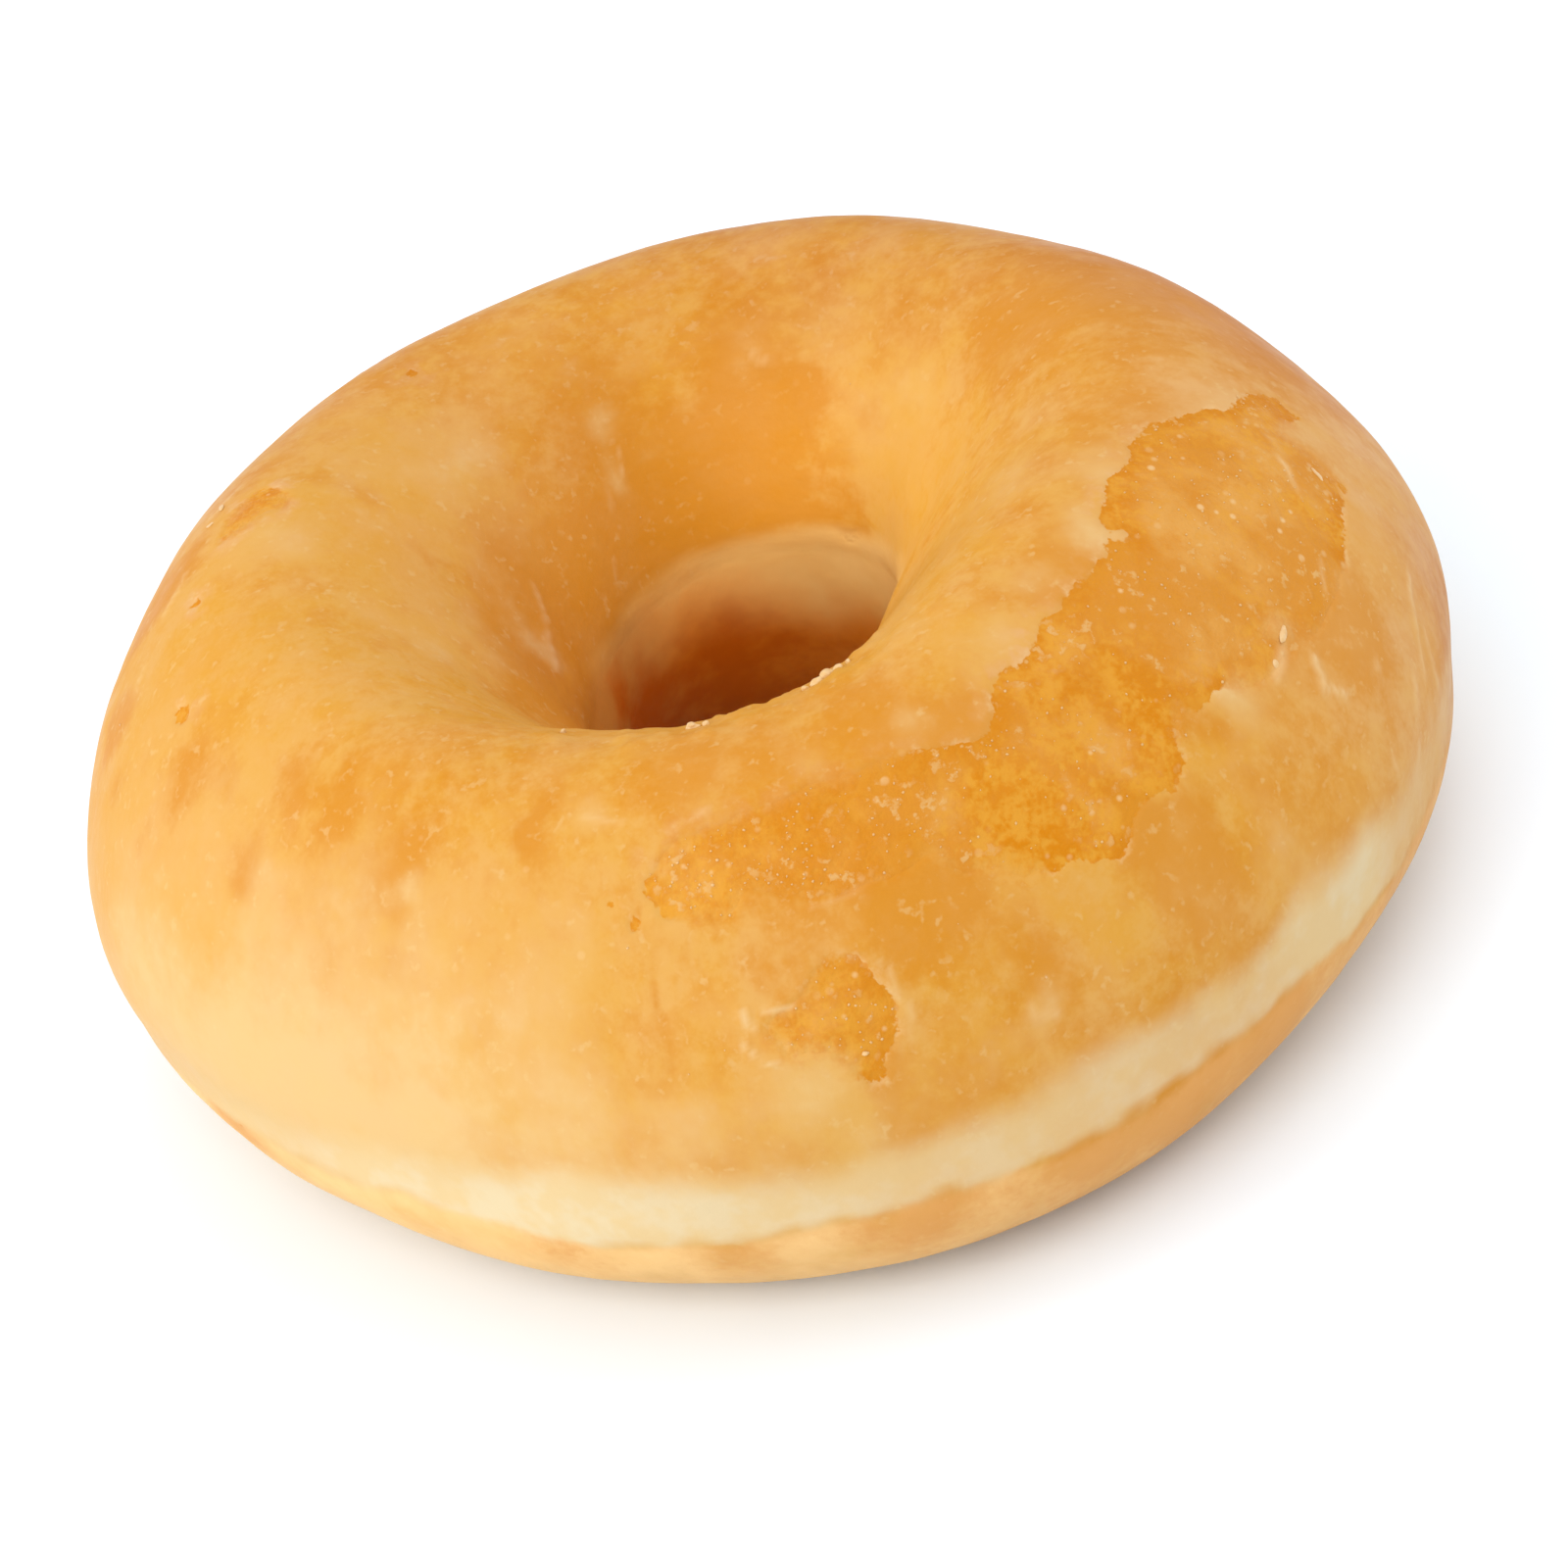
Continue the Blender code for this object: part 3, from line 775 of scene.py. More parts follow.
def join_surface(tree, shader, base, roughness, bump, gloss):
    """Link a colour, a roughness and a bump of (height, strength, depth) to the shader, and set its gloss."""
    height, strength, depth = bump
    normal = add_node(tree, "ShaderNodeBump", {"Height": height, "Strength": strength, "Distance": depth})
    tree.links.new(base, shader.inputs["Base Color"])
    tree.links.new(roughness, shader.inputs["Roughness"])
    tree.links.new(normal.outputs[0], shader.inputs["Normal"])
    set_plain(shader, gloss)


def rgba(colour):
    """A colour property as four numbers."""
    return (colour[0], colour[1], colour[2], 1.0)


class Mottle:
    """Noises of the dough from coarse to fine, and its toasting with painted shade: the toasted and painted
    shade spots plus finer noises.
    """

    def __init__(self, tree, place, slim):
        self.tree = tree
        self.slow = cloud(tree, slim, SLOW_SIZE, 2.0, 0.5)
        self.middle = cloud(tree, slim, MIDDLE_SIZE, 3.0, 0.58)
        self.broken = cloud(tree, slim, BROKEN_SIZE, 3.0, 0.60, 7.0)
        self.grain = cloud(tree, place, GRAIN_SIZE, 3.0, 0.6)
        self.fine = cloud(tree, place, FINE_SIZE, 1.0, 0.5)
        self.toast = plus(tree, named(tree, "toast"), self.weigh(broken=1.0, grain=0.4))

    def weigh(self, **weights):
        """Sum of the named noises, each times its weight."""
        total = None
        for name, weight in weights.items():
            part = times(self.tree, getattr(self, name), weight)
            total = part if total is None else plus(self.tree, total, part)
        return total


def dough_colour(tree, mottle, finish):
    """Golden dough with honey mottling and toasted spots, some of them painted shade."""
    tone = mottle.weigh(slow=0.24, middle=0.34, broken=0.22, grain=0.14, fine=0.06)
    base = mix(tree, step(tree, tone, 0.43, 0.57), rgba(finish.golden), rgba(finish.honey))
    return mix(tree, step(tree, mottle.toast, 0.80, 1.50, 0.0, 0.66), base, rgba(finish.toasted))


def glazed_colour(tree, place, mottle, veil, pale, finish, glaze):
    """The dough with its creamy places, partly painted light; over that the milky sugar, partly a painted
    sheen and thinner on toasted spots; and its frost, kept off the painted light of the hole's wall.
    """
    base = mix(tree, pale, dough_colour(tree, mottle, finish), rgba(finish.cream))
    milk = step(tree, veil, 0.35, 0.68, 0.2 * glaze.milkiness, 1.8 * glaze.milkiness)
    # The milky side, partly a painted sheen where it is seen at a grazing angle
    side = times(tree, named(tree, "milk"), step(tree, veil, 0.3, 0.7, 0.55, 1.0))
    halo = times(tree, named(tree, "halo"), step(tree, mottle.broken, 0.35, 0.65))
    milk = calculate(tree, "MAXIMUM", milk, calculate(tree, "MAXIMUM", side, halo))
    milk = times(tree, milk, step(tree, mottle.toast, 0.95, 1.50, 1.0, 0.35))
    base = mix(tree, milk, base, rgba(finish.milk))
    frost = cloud(tree, place, FROST_SIZE, 2.0, 0.5, 11.0)
    frost = times(tree, step(tree, frost, 0.56, 0.72), step(tree, mottle.broken, 0.42, 0.62, 0.03, 0.40))
    # No frost under the painted light on the hole's wall
    frost = times(tree, frost, calculate(tree, "SUBTRACT", 1.0, named(tree, "light_wall")))
    return mix(tree, frost, base, rgba(finish.cream))


def torn_edge(tree, mottle):
    """Distance in metres to the edge of the glaze, with small tears: above 0 where the crust is bare."""
    distance = plus(tree, named(tree, "bare"), mottle.weigh(grain=COARSE_TEARS, fine=FINE_TEARS))
    return calculate(tree, "SUBTRACT", distance, 0.5 * (COARSE_TEARS + FINE_TEARS))


def with_pale_rim(tree, mottle, edge, base, finish):
    """The colour with paler broken sugar and a painted highlight along the edge of the glaze, where that is
    crisp.
    """
    crisp = calculate(tree, "SUBTRACT", 1.0, named(tree, "soft"))
    rim = times(tree, step(tree, edge, -0.0005, 0.0), step(tree, mottle.broken, 0.50, 0.62, 0.0, 0.28))
    return mix(tree, times(tree, rim, crisp), base, rgba(finish.sugar))


def bare_colour(tree, mottle, veil, pale, edge, finish):
    """Bare crust: amber mottling, a haze of sugar away from the edge, toasted spots with painted shade beside
    the glaze's edge, and pale flecks.
    """
    tone = mottle.weigh(middle=0.25, broken=0.35, grain=0.30, fine=0.10)
    base = mix(tree, step(tree, tone, 0.43, 0.57), rgba(finish.amber), rgba(finish.amber_dark))
    haze = plus(tree, pale, step(tree, veil, 0.44, 0.64, 0.0, 0.5))
    haze = times(tree, haze, step(tree, edge, 0.0003, 0.0020))
    haze = times(tree, haze, step(tree, mottle.grain, 0.35, 0.60, 0.6, 1.2))
    base = mix(tree, calculate(tree, "MINIMUM", haze, 1.0), base, rgba(finish.haze))
    # Painted shade of the glaze's edge: darker bare crust close beside it
    toast = plus(tree, mottle.toast, step(tree, edge, 0.0010, 0.0002, 0.0, 0.14))
    base = mix(tree, step(tree, toast, 0.84, 1.40, 0.0, 0.62), base, rgba(finish.toasted))
    flecks = times(tree, step(tree, mottle.grain, 0.56, 0.68), step(tree, veil, 0.44, 0.62, 0.0, 0.55))
    return mix(tree, flecks, base, rgba(finish.cream))


def with_sugar_grains(tree, place, base, finish):
    """The colour with soft pale grains of sugar in some cells, more of them where the attribute is higher."""
    cells = add_node(tree, "ShaderNodeTexVoronoi", {"Vector": place, "Scale": 1.0 / SUGAR_CELL}, feature="F1")
    parts = add_node(tree, "ShaderNodeSeparateColor", {0: cells.outputs["Color"]})
    near = calculate(tree, "SUBTRACT", cells.outputs["Distance"], times(tree, parts.outputs[2], 0.16))
    chosen = step(tree, plus(tree, parts.outputs[1], named(tree, "grainy")), 0.90, 1.45, 0.0, 0.60)
    return mix(tree, times(tree, step(tree, near, 0.22, 0.0), chosen), base, rgba(finish.sugar))


def with_underside(tree, place, mottle, base, finish):
    """The colour with the pale line and, below it, the underside with its browner mottling."""
    patches = cloud(tree, place, PATCH_SIZE, 3.0, 0.6, 5.0)
    line = mix(tree, step(tree, patches, 0.38, 0.62), rgba(finish.pale), rgba(finish.pale_warm))
    base = mix(tree, named(tree, "pale"), base, line)
    brown = plus(tree, times(tree, patches, 0.4), times(tree, mottle.grain, 0.4))
    brown = step(tree, plus(tree, named(tree, "toast"), brown), 0.34, 0.95, 0.0, 0.85)
    lower = mix(tree, brown, rgba(finish.underside), rgba(finish.underside_toasted))
    share = plus(tree, named(tree, "underside"), mottle.weigh(middle=0.9, grain=0.3))
    return mix(tree, step(tree, share, 1.05, 1.75, 0.0, 0.9), base, lower)


def tinted(tree, share, base, tint):
    """The colour times a tint, by the share."""
    return mix(tree, share, base, mix(tree, 1.0, base, tint, "MULTIPLY"))


def with_hole(tree, mottle, base, finish):
    """The colour with the brown wall of the hole, partly painted shade, and its pale line."""
    brown = times(tree, named(tree, "hole"), mottle.weigh(middle=1.2, broken=0.8))
    # Upper wall: orange where the hole lies in deep shade and tan at its lit end, a painted shade; deeper in,
    # brown, partly the fried wall's colour and partly painted shade
    upper = mix(tree, named(tree, "hole_end"), rgba(finish.hole_shade_orange), rgba(finish.hole_tan))
    wall = mix(tree, step(tree, brown, 0.40, 1.10), upper, rgba(finish.hole_brown))
    base = mix(tree, step(tree, brown, 0.0, 0.50), base, wall)
    band = times(tree, named(tree, "hole_line"), step(tree, mottle.middle, 0.30, 0.60, 1.0, 0.75))
    return mix(tree, band, base, rgba(finish.hole_pale))


def ring_colour(tree, place, finish, glaze):
    """Colour of the whole ring, the same for crust and glaze, and its mottle.

    The glaze gives way to bare crust where the torn edge's distance passes 0. Over both come the creases, the
    grains of sugar, the pale line, the underside, the painted shade, the painted light on the hole's wall and
    the hole.
    """
    slim = named(tree, "slim", "Vector")
    mottle = Mottle(tree, place, slim)
    veil = cloud(tree, slim, VEIL_SIZE, 4.0, 0.6, 3.0)
    # Creamy places, partly painted light: the lit left side, and a painted highlight on the far wall of the
    # hole
    cream = plus(tree, named(tree, "cream"), mottle.weigh(middle=0.7, broken=0.25, grain=0.2))
    pale = step(tree, cream, 0.66, 1.35, 0.0, 0.95)
    edge = torn_edge(tree, mottle)
    glazed = glazed_colour(tree, place, mottle, veil, pale, finish, glaze)
    glazed = with_pale_rim(tree, mottle, edge, glazed, finish)
    bare = bare_colour(tree, mottle, veil, pale, edge, finish)
    width = step(tree, named(tree, "soft"), 0.0, 1.0, CRISP_WIDTH, SOFT_WIDTH)
    base = mix(tree, step(tree, edge, times(tree, width, -1.0), width), glazed, bare)
    base = mix(tree, times(tree, named(tree, "crease"), CREASE_SHARE), base, rgba(finish.sugar))
    base = with_sugar_grains(tree, place, base, finish)
    base = with_underside(tree, place, mottle, base, finish)
    # Painted shade along the back's outline and in the hole
    shade = times(tree, named(tree, "shade"), step(tree, mottle.broken, 0.2, 0.6, 0.5, 1.0))
    base = tinted(tree, shade, base, SHADE_TINT)
    # Painted light on the side of the hole that faces the lamps
    base = tinted(tree, named(tree, "light_wall"), base, PAINTED_LIGHT_TINT)
    return with_hole(tree, mottle, base, finish), mottle


def crust_material(finish, glaze):
    """Bare fried crust under a thin film of fat: satin, with small pores."""
    material, tree, shader, place = new_material("fried_crust")
    base, mottle = ring_colour(tree, place, finish, glaze)
    roughness = step(tree, mottle.grain, 0.3, 0.7, 0.38, 0.56)
    pores = mottle.weigh(grain=1.0, fine=0.35)
    join_surface(tree, shader, base, roughness, (pores, 0.5, 0.0002), CRUST_GLOSS)
    return material


def glaze_material(finish, glaze):
    """Thin dried sugar over the dough: satin and nearly smooth."""
    material, tree, shader, place = new_material("sugar_glaze")
    base, mottle = ring_colour(tree, place, finish, glaze)
    roughness = step(tree, mottle.middle, 0.3, 0.7, 0.40, 0.54)
    height = mottle.weigh(middle=1.6, grain=0.5)
    join_surface(tree, shader, base, roughness, (height, 0.3, 0.0002), GLAZE_GLOSS)
    return material


def sugar_material(name, finish, share):
    """Dried sugar that stands proud: pale, uneven in tone, satin, mixed with the colour of the dough."""
    material, tree, shader, place = new_material(name)
    mottle = Mottle(tree, place, place)
    most = step(tree, mottle.fine, 0.3, 0.7, 0.7 * share, share)
    base = mix(tree, most, dough_colour(tree, mottle, finish), rgba(finish.sugar))
    roughness = step(tree, mottle.middle, 0.3, 0.7, 0.30, 0.45)
    join_surface(tree, shader, base, roughness, (mottle.fine, 0.3, 0.0001), SUGAR_GLOSS)
    return material


def grain_share(azimuth, field, points):
    """Share of sugar grains: few on the glaze, clustered on bare crust, most at the left end of the flake."""
    sparse, more = GLAZE_GRAINS
    share = sparse + more * smooth_step(noise(points, SPARSE_SIZE, 72), 0.0, 0.7)
    least, most = BARE_GRAINS
    clusters = least + most * smooth_step(noise(points, CLUSTER_SIZE, 71), -0.2, 0.6)
    left_end = LEFT_END_GRAINS * bell(azimuth, LEFT_END_AZIMUTH, 12.0)
    return share + smooth_step(field, *DROP_REACH) * (clusters + left_end)


def toast_start(azimuth, outer, points, sunk):
    """Toast before its spots: slow noise, the brown line, sunk creases and the browner right side."""
    middle, half_width, strength = BROWN_LINE
    low, high = RIGHT_SIDE_DEPTHS
    right_side = facing(azimuth, RIGHT_SIDE_AZIMUTH, *RIGHT_SIDE_COSINES) * smooth_step(-outer, low, high)
    slow = SLOW_TOAST * layered_noise(points, SLOW_TOAST_SIZE, 3, 31)
    brown_line = strength * bell(outer, middle, half_width)
    return slow + brown_line + SUNK_TOAST * sunk + RIGHT_SIDE_TOAST * right_side


def shoulder_shade(azimuth, outer):
    """Painted shade along the back's outline as the camera sees it: a bell over the section, round a line
    that climbs as an arctangent.
    """
    line = np.degrees(np.arctan(SHOULDER_SLOPE * np.sin(np.radians(azimuth))))
    return SHOULDER_SHARE * bell(outer, line, SHOULDER_HALF_WIDTH) * facing(azimuth, 90.0, *SHOULDER_COSINES)


def ring_attributes(azimuth, section, field, points):
    """The point attributes that both rings share, which ring_colour() reads."""
    outer = turned(section, 0.0)
    inner = section % 360.0
    below, _, _ = line_edges(OUTER_LINE, azimuth)
    pale, cream = pale_field(azimuth, section, points)
    hole_line, hole = hole_fields(azimuth, section, points)
    _, crease, sunk = crease_fields(points)
    first, last = MILK_SHEEN_SECTIONS
    # Milky side of the glaze, partly a painted sheen
    milk = MILK_SHEEN_SHARE * facing(azimuth, MILK_SHEEN_AZIMUTH, *MILK_SHEEN_COSINES) * smooth_step(-outer, -last, -first)
    first, last = PAINTED_LIGHT_ENDS
    light_wall = facing(azimuth, PAINTED_LIGHT_AZIMUTH, *PAINTED_LIGHT_COSINES) * smooth_step(-inner, -last, -first)
    soft = spot_sum([(*place, 1.0) for place in SOFT_EDGES], points, np.zeros_like(azimuth))
    least, more = RIM_HALO_SHARE
    halo = smooth_step(field, *RIM_HALO_REACH) * (least + more * smooth_step(section, *RIM_HALO_SECTIONS))
    return {
        "slim": slim_points(azimuth, section),
        "bare": np.clip(field, -0.003, 0.003),
        "soft": smooth_step(soft, 0.2, 0.9),
        "grainy": grain_share(azimuth, field, points),
        "toast": spot_sum(TOAST_AND_PAINTED_SHADE_SPOTS, points, toast_start(azimuth, outer, points, sunk)),
        "cream": cream,
        "milk": milk,
        "halo": halo,
        "crease": crease,
        "shade": spot_sum(SHADED_SPOTS, points, shoulder_shade(azimuth, outer)),
        "pale": pale,
        "underside": smooth_step(below - outer, -5.0, 2.5) * smooth_step(outer + 150.0, -20.0, 20.0),
        "light_wall": light_wall * smooth_step(inner, *PAINTED_LIGHT_SECTIONS),
        "hole_line": hole_line,
        "hole": np.clip(hole, 0.0, 1.0),
        "hole_end": smooth_step(turned(azimuth, 180.0), *HOLE_END_AZIMUTHS),
    }


def glaze_lift(azimuth, section, field, points, glaze):
    """Height of the glaze over the ring: ripples, ragged lip, curled rim and creases, less the drop."""
    ripple = glaze.ripple * two_noises(points, RIPPLE_SIZES, 0.45, 51)
    first, last, low, high = LIP_RANGE
    lip = smooth_step(azimuth, first, first + 15.0) * smooth_step(-azimuth, -last, 15.0 - last)
    lip = lip * smooth_step(section, low, low + 6.0) * smooth_step(-section, -high, 8.0 - high)
    ragged = glaze.lip * lip * np.clip(two_noises(points, LIP_SIZES, 0.6, 54), -0.2, 1.0)
    curl = np.clip(noise(points, RIM_CURL_SIZE, 53) + 0.35, 0.0, 1.0)
    rim = glaze.rim * curl * bell(field, RIM_PLACE, RIM_HALF_WIDTH)
    drop = (glaze.thickness + glaze.tuck) * smooth_step(field, *DROP_REACH)
    crease, _, _ = crease_fields(points)
    return ripple + ragged + rim + crease * smooth_step(-field, -0.0002, 0.0003) - drop


def crust_lift(field, points, glaze):
    """Height of the crust over the ring: less the glaze's thickness, with its ripples and small pores."""
    ripple = glaze.ripple * noise(points, RIPPLE_SIZES[0], 51)
    pores = PORE_DEPTH * smooth_step(field, 0.0, 0.0012) * two_noises(points, PORE_SIZES, 1.0, 61)
    return ripple - glaze.thickness + pores


def top_lift(azimuth, section, glaze):
    """Height over the ring of what shows at each place: the glaze or, where it has flaked off, the crust."""
    field = bare_field(azimuth, section, glaze.raggedness)
    points = ring_points(azimuth, section, np.zeros_like(azimuth))
    return np.maximum(glaze_lift(azimuth, section, field, points, glaze), crust_lift(field, points, glaze))


def unit_ball(levels):
    """Points and faces of a twenty-sided ball, each face cut in four as many times as the levels."""
    ratio = (1.0 + 5.0 ** 0.5) / 2.0
    points = [(a * 1.0, b * ratio, 0.0) for b in (-1, 1) for a in (-1, 1)]
    points += [(0.0, a * 1.0, b * ratio) for b in (-1, 1) for a in (-1, 1)]
    points += [(b * ratio, 0.0, a * 1.0) for b in (-1, 1) for a in (-1, 1)]
    points = np.array(points)
    near = 2.0 + 1e-6
    count = len(points)
    apart = np.linalg.norm(points[:, None] - points[None], axis=-1)
    faces = [
        (i, j, k)
        for i in range(count) for j in range(i + 1, count) for k in range(j + 1, count)
        if max(apart[i, j], apart[j, k], apart[i, k]) < near
    ]
    faces = np.array(faces)
    for _ in range(levels):
        corners = points[faces]
        halves = 0.5 * (corners + np.roll(corners, -1, axis=1))
        new = np.concatenate([corners, halves], axis=1)
        pattern = np.array([(0, 3, 5), (3, 1, 4), (5, 4, 2), (3, 4, 5)])
        triangles = new[:, pattern].reshape(-1, 3)
        radius = np.linalg.norm(points[0])
        triangles *= radius / np.linalg.norm(triangles, axis=1, keepdims=True)
        points, back = np.unique(triangles.round(6), axis=0, return_inverse=True)
        faces = back.reshape(-1, 3)
    points = unit(points)
    first, second, third = points[faces].transpose(1, 0, 2)
    outward = np.sum(np.cross(second - first, third - first) * first, axis=1)
    faces[outward < 0.0] = faces[outward < 0.0][:, ::-1]
    return points, faces


def many_blobs(azimuth, section, sizes, heading, lift, levels, seed):
    """A lumpy ball at each place of the ring: its length and width lie on the surface, its height stands out.

    Each unit ball's point is stretched by the three sizes, with smooth lumps of noise, and set along
    the ring's own axes, turned by the heading.
    """
    along, across, outward = ring_axes(azimuth, section)
    cosine, sine = np.cos(np.radians(heading))[:, None], np.sin(np.radians(heading))[:, None]
    first = cosine * along + sine * across
    second = -sine * along + cosine * across
    axes = np.stack([first, second, outward], axis=1)
    ball, faces = unit_ball(levels)
    shifts = np.random.default_rng(seed).uniform(0.0, 50.0, (len(azimuth), 1, 3))
    lumps = 1.0 + LUMP_HEIGHT * noise(ball[None] + shifts, LUMP_SIZE, seed)
    shaped = ball[None] * lumps[..., None] * sizes[:, None, :]
    centres = ring_points(azimuth, section, lift)
    points = centres[:, None, :] + shaped @ axes
    all_faces = faces[None] + len(ball) * np.arange(len(azimuth))[:, None, None]
    return points.reshape(-1, 3), all_faces.reshape(-1, 3)


def scattered(count, seed, raggedness):
    """Places of crumbs: random over the ring, kept mostly in clusters on bare crust, with a few elsewhere."""
    random = np.random.default_rng(seed)
    tries = TRIES_PER_CRUMB * count
    azimuth = random.uniform(-180.0, 180.0, tries)
    section = random.uniform(*SPARSE_SECTIONS, tries)
    dense = random.random(tries) < DENSE_SHARE
    azimuth = np.where(dense, random.uniform(*DENSE_AZIMUTHS, tries), azimuth)
    section = np.where(dense, random.uniform(*DENSE_SECTIONS, tries), section)
    field = bare_field(azimuth, section, raggedness)
    points = ring_points(azimuth, section, np.zeros_like(azimuth))
    cluster = smooth_step(noise(points, CRUMB_CLUSTER_SIZE, 71), -0.3, 0.6)
    left_end = bell(azimuth, LEFT_END_AZIMUTH, 10.0)
    least, clustered, at_left_end = BARE_CHANCE
    bare = least + clustered * cluster + at_left_end * left_end
    chance = np.where(field > 0.0002, bare, GLAZE_CHANCE * cluster)
    kept = np.flatnonzero(random.random(tries) * FULL_CHANCE < chance)[:count]
    return azimuth[kept], section[kept], random


def in_millimetres(value, name, description, most=5.0):
    """A length property whose value is given in millimetres."""
    return FloatProperty(
        name=name, description=description, default=value * MILLIMETRE, min=0.0, max=most * MILLIMETRE,
        precision=5, unit="LENGTH", subtype="DISTANCE",
    )


def share_of(value, name, description, most=1.0):
    """A share property between 0 and the most."""
    return FloatProperty(
        name=name, description=description, default=value, min=0.0, max=most, subtype="FACTOR"
    )


def power(watts, name, description):
    """A property for the power of a lamp."""
    return FloatProperty(name=name, description=description, default=watts, min=0.0, unit="POWER")


def colour(value, name, description):
    """A colour property."""
    return FloatVectorProperty(
        name=name, description=description, default=value, min=0.0, max=1.0, size=3, subtype="COLOR"
    )


class DoughnutGlaze(bpy.types.PropertyGroup):
    """Sizes of the glaze."""

    thickness: in_millimetres(0.08, "Thickness", "How far the glaze stands over the crust")
    tuck: in_millimetres(0.16, "Tuck", "How far the glaze dips under the crust where it has flaked off")
    rim: in_millimetres(0.02, "Rim", "Most that the glaze's broken edge curls up")
    ripple: in_millimetres(0.05, "Ripple", "Height of the soft ripples")
    lip: in_millimetres(0.22, "Lip", "Height of the ragged bumps on the near lip of the hole")
    raggedness: in_millimetres(0.45, "Raggedness", "How far the edges of the flaked places wander")
    milkiness: share_of(0.09, "Milkiness", "How much the sugar whitens the dough", 0.5)


class DoughnutFinish(bpy.types.PropertyGroup):
    """Colours of the crust, the glaze and the sugar."""

    golden: colour((0.580, 0.298, 0.056), "Golden", "Main colour of the fried dough")
    honey: colour((0.575, 0.270, 0.028), "Honey", "Deeper colour of its soft mottling")
    toasted: colour((0.510, 0.182, 0.010), "Toasted", "Colour of the spots that fried longest")
    cream: colour((0.620, 0.410, 0.170), "Cream", "Colour of the palest dough")
    # The wall's orange stands for its deep shade and its tan for the lit end, and the deep brown is partly
    # painted shade
    hole_shade_orange: colour((0.710, 0.220, 0.012), "Hole", "Colour of the wall of the hole under its pale line")
    hole_tan: colour((0.560, 0.235, 0.048), "Hole end", "Colour of that wall at the end where it fades out")
    hole_brown: colour((0.500, 0.105, 0.001), "Deep hole", "Colour of the lower wall of the hole")
    hole_pale: colour((0.880, 0.560, 0.190), "Hole line", "Colour of the pale line in the hole")
    underside: colour((0.785, 0.500, 0.210), "Underside", "Colour below the pale line")
    underside_toasted: colour((0.600, 0.268, 0.068), "Toasted underside", "Colour of its browner mottling")
    amber: colour((0.590, 0.260, 0.025), "Amber", "Main colour of the bare crust")
    amber_dark: colour((0.538, 0.184, 0.004), "Dark amber", "Deeper colour of the bare crust")
    haze: colour((0.590, 0.283, 0.060), "Haze", "Colour of the bare crust where some sugar is left on it")
    pale: colour((0.640, 0.508, 0.305), "Pale line", "Colour where the dough floated out of the fat")
    pale_warm: colour((0.640, 0.465, 0.235), "Warm pale line", "Warmer colour of that line's mottling")
    milk: colour((0.615, 0.365, 0.200), "Milk", "Colour that the dried sugar adds")
    sugar: colour((0.700, 0.500, 0.260), "Sugar", "Colour of crumbs and broken edges")


class DoughnutCrumbs(bpy.types.PropertyGroup):
    """Number and size of what stands proud of the ring."""

    crumbs: IntProperty(name="Crumbs", description="Number of sugar crumbs", default=420, min=1, max=5000)
    crumb_radius: in_millimetres(0.065, "Crumb radius", "Middle radius of a crumb")


class DoughnutStage(bpy.types.PropertyGroup):
    """Floor, light and camera."""

    floor_tone: share_of(0.91, "Floor tone", "Lightness of the floor")
    fill: FloatProperty(name="Fill", description="Strength of the even light", default=0.83, min=0.0)
    front: power(2.06, "Front light", "Power of the lamp in front, to the left")
    left: power(2.84, "Left light", "Power of the low lamp on the left")
    right: power(0.98, "Right light", "Power of the lamp on the right")
    back: power(0.94, "Back light", "Power of the high lamp behind, to the right")
    camera_elevation: FloatProperty(name="Camera elevation", description="In degrees", default=34.0)
    camera_roll: FloatProperty(name="Camera roll", description="In degrees", default=17.0)
    camera_distance: FloatProperty(
        name="Camera distance", description="From the middle of the ring", default=0.4185, unit="LENGTH"
    )
    lens: FloatProperty(name="Lens", description="Focal length in millimetres", default=148.25)


def shared_ring(glaze):
    """Angles and faces of the shared grid, its bare distances and its points on the smooth ring."""
    azimuth, section, faces = ring_grid()
    smooth = ring_points(azimuth, section, np.zeros_like(azimuth))
    return azimuth, section, faces, bare_field(azimuth, section, glaze.raggedness), smooth


def add_sugar(name, points, faces, finish, share):
    """A piece of sugar, with the toasting and painted shade of the dough that it stands on."""
    toast = {"toast": spot_sum(TOAST_AND_PAINTED_SHADE_SPOTS, points, 0.0)}
    add_piece(name, points, faces, sugar_material(name, finish, share), toast)


class DOUGHNUT_OT_crust(bpy.types.Operator):
    """Add the fried crust, a closed ring just under the glaze, in place of the plain solid"""

    bl_idname = "doughnut.crust"
    bl_label = "Crust"

    def execute(self, context):
        glaze, finish = context.scene.doughnut_glaze, context.scene.doughnut_finish
        azimuth, section, faces, field, smooth = shared_ring(glaze)
        points = ring_points(azimuth, section, crust_lift(field, smooth, glaze), glaze.thickness)
        attributes = ring_attributes(azimuth, section, field, smooth)
        piece = add_piece("crust", points, faces, crust_material(finish, glaze), attributes)
        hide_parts("doughnut")
        return {"FINISHED"}


class DOUGHNUT_OT_glaze(bpy.types.Operator):
    """Add the sugar glaze, a closed ring over the crust that dips under it where it has flaked off"""

    bl_idname = "doughnut.glaze"
    bl_label = "Glaze"

    def execute(self, context):
        glaze, finish = context.scene.doughnut_glaze, context.scene.doughnut_finish
        azimuth, section, faces, field, smooth = shared_ring(glaze)
        points = ring_points(azimuth, section, glaze_lift(azimuth, section, field, smooth, glaze))
        attributes = ring_attributes(azimuth, section, field, smooth)
        add_piece("glaze", points, faces, glaze_material(finish, glaze), attributes)
        return {"FINISHED"}


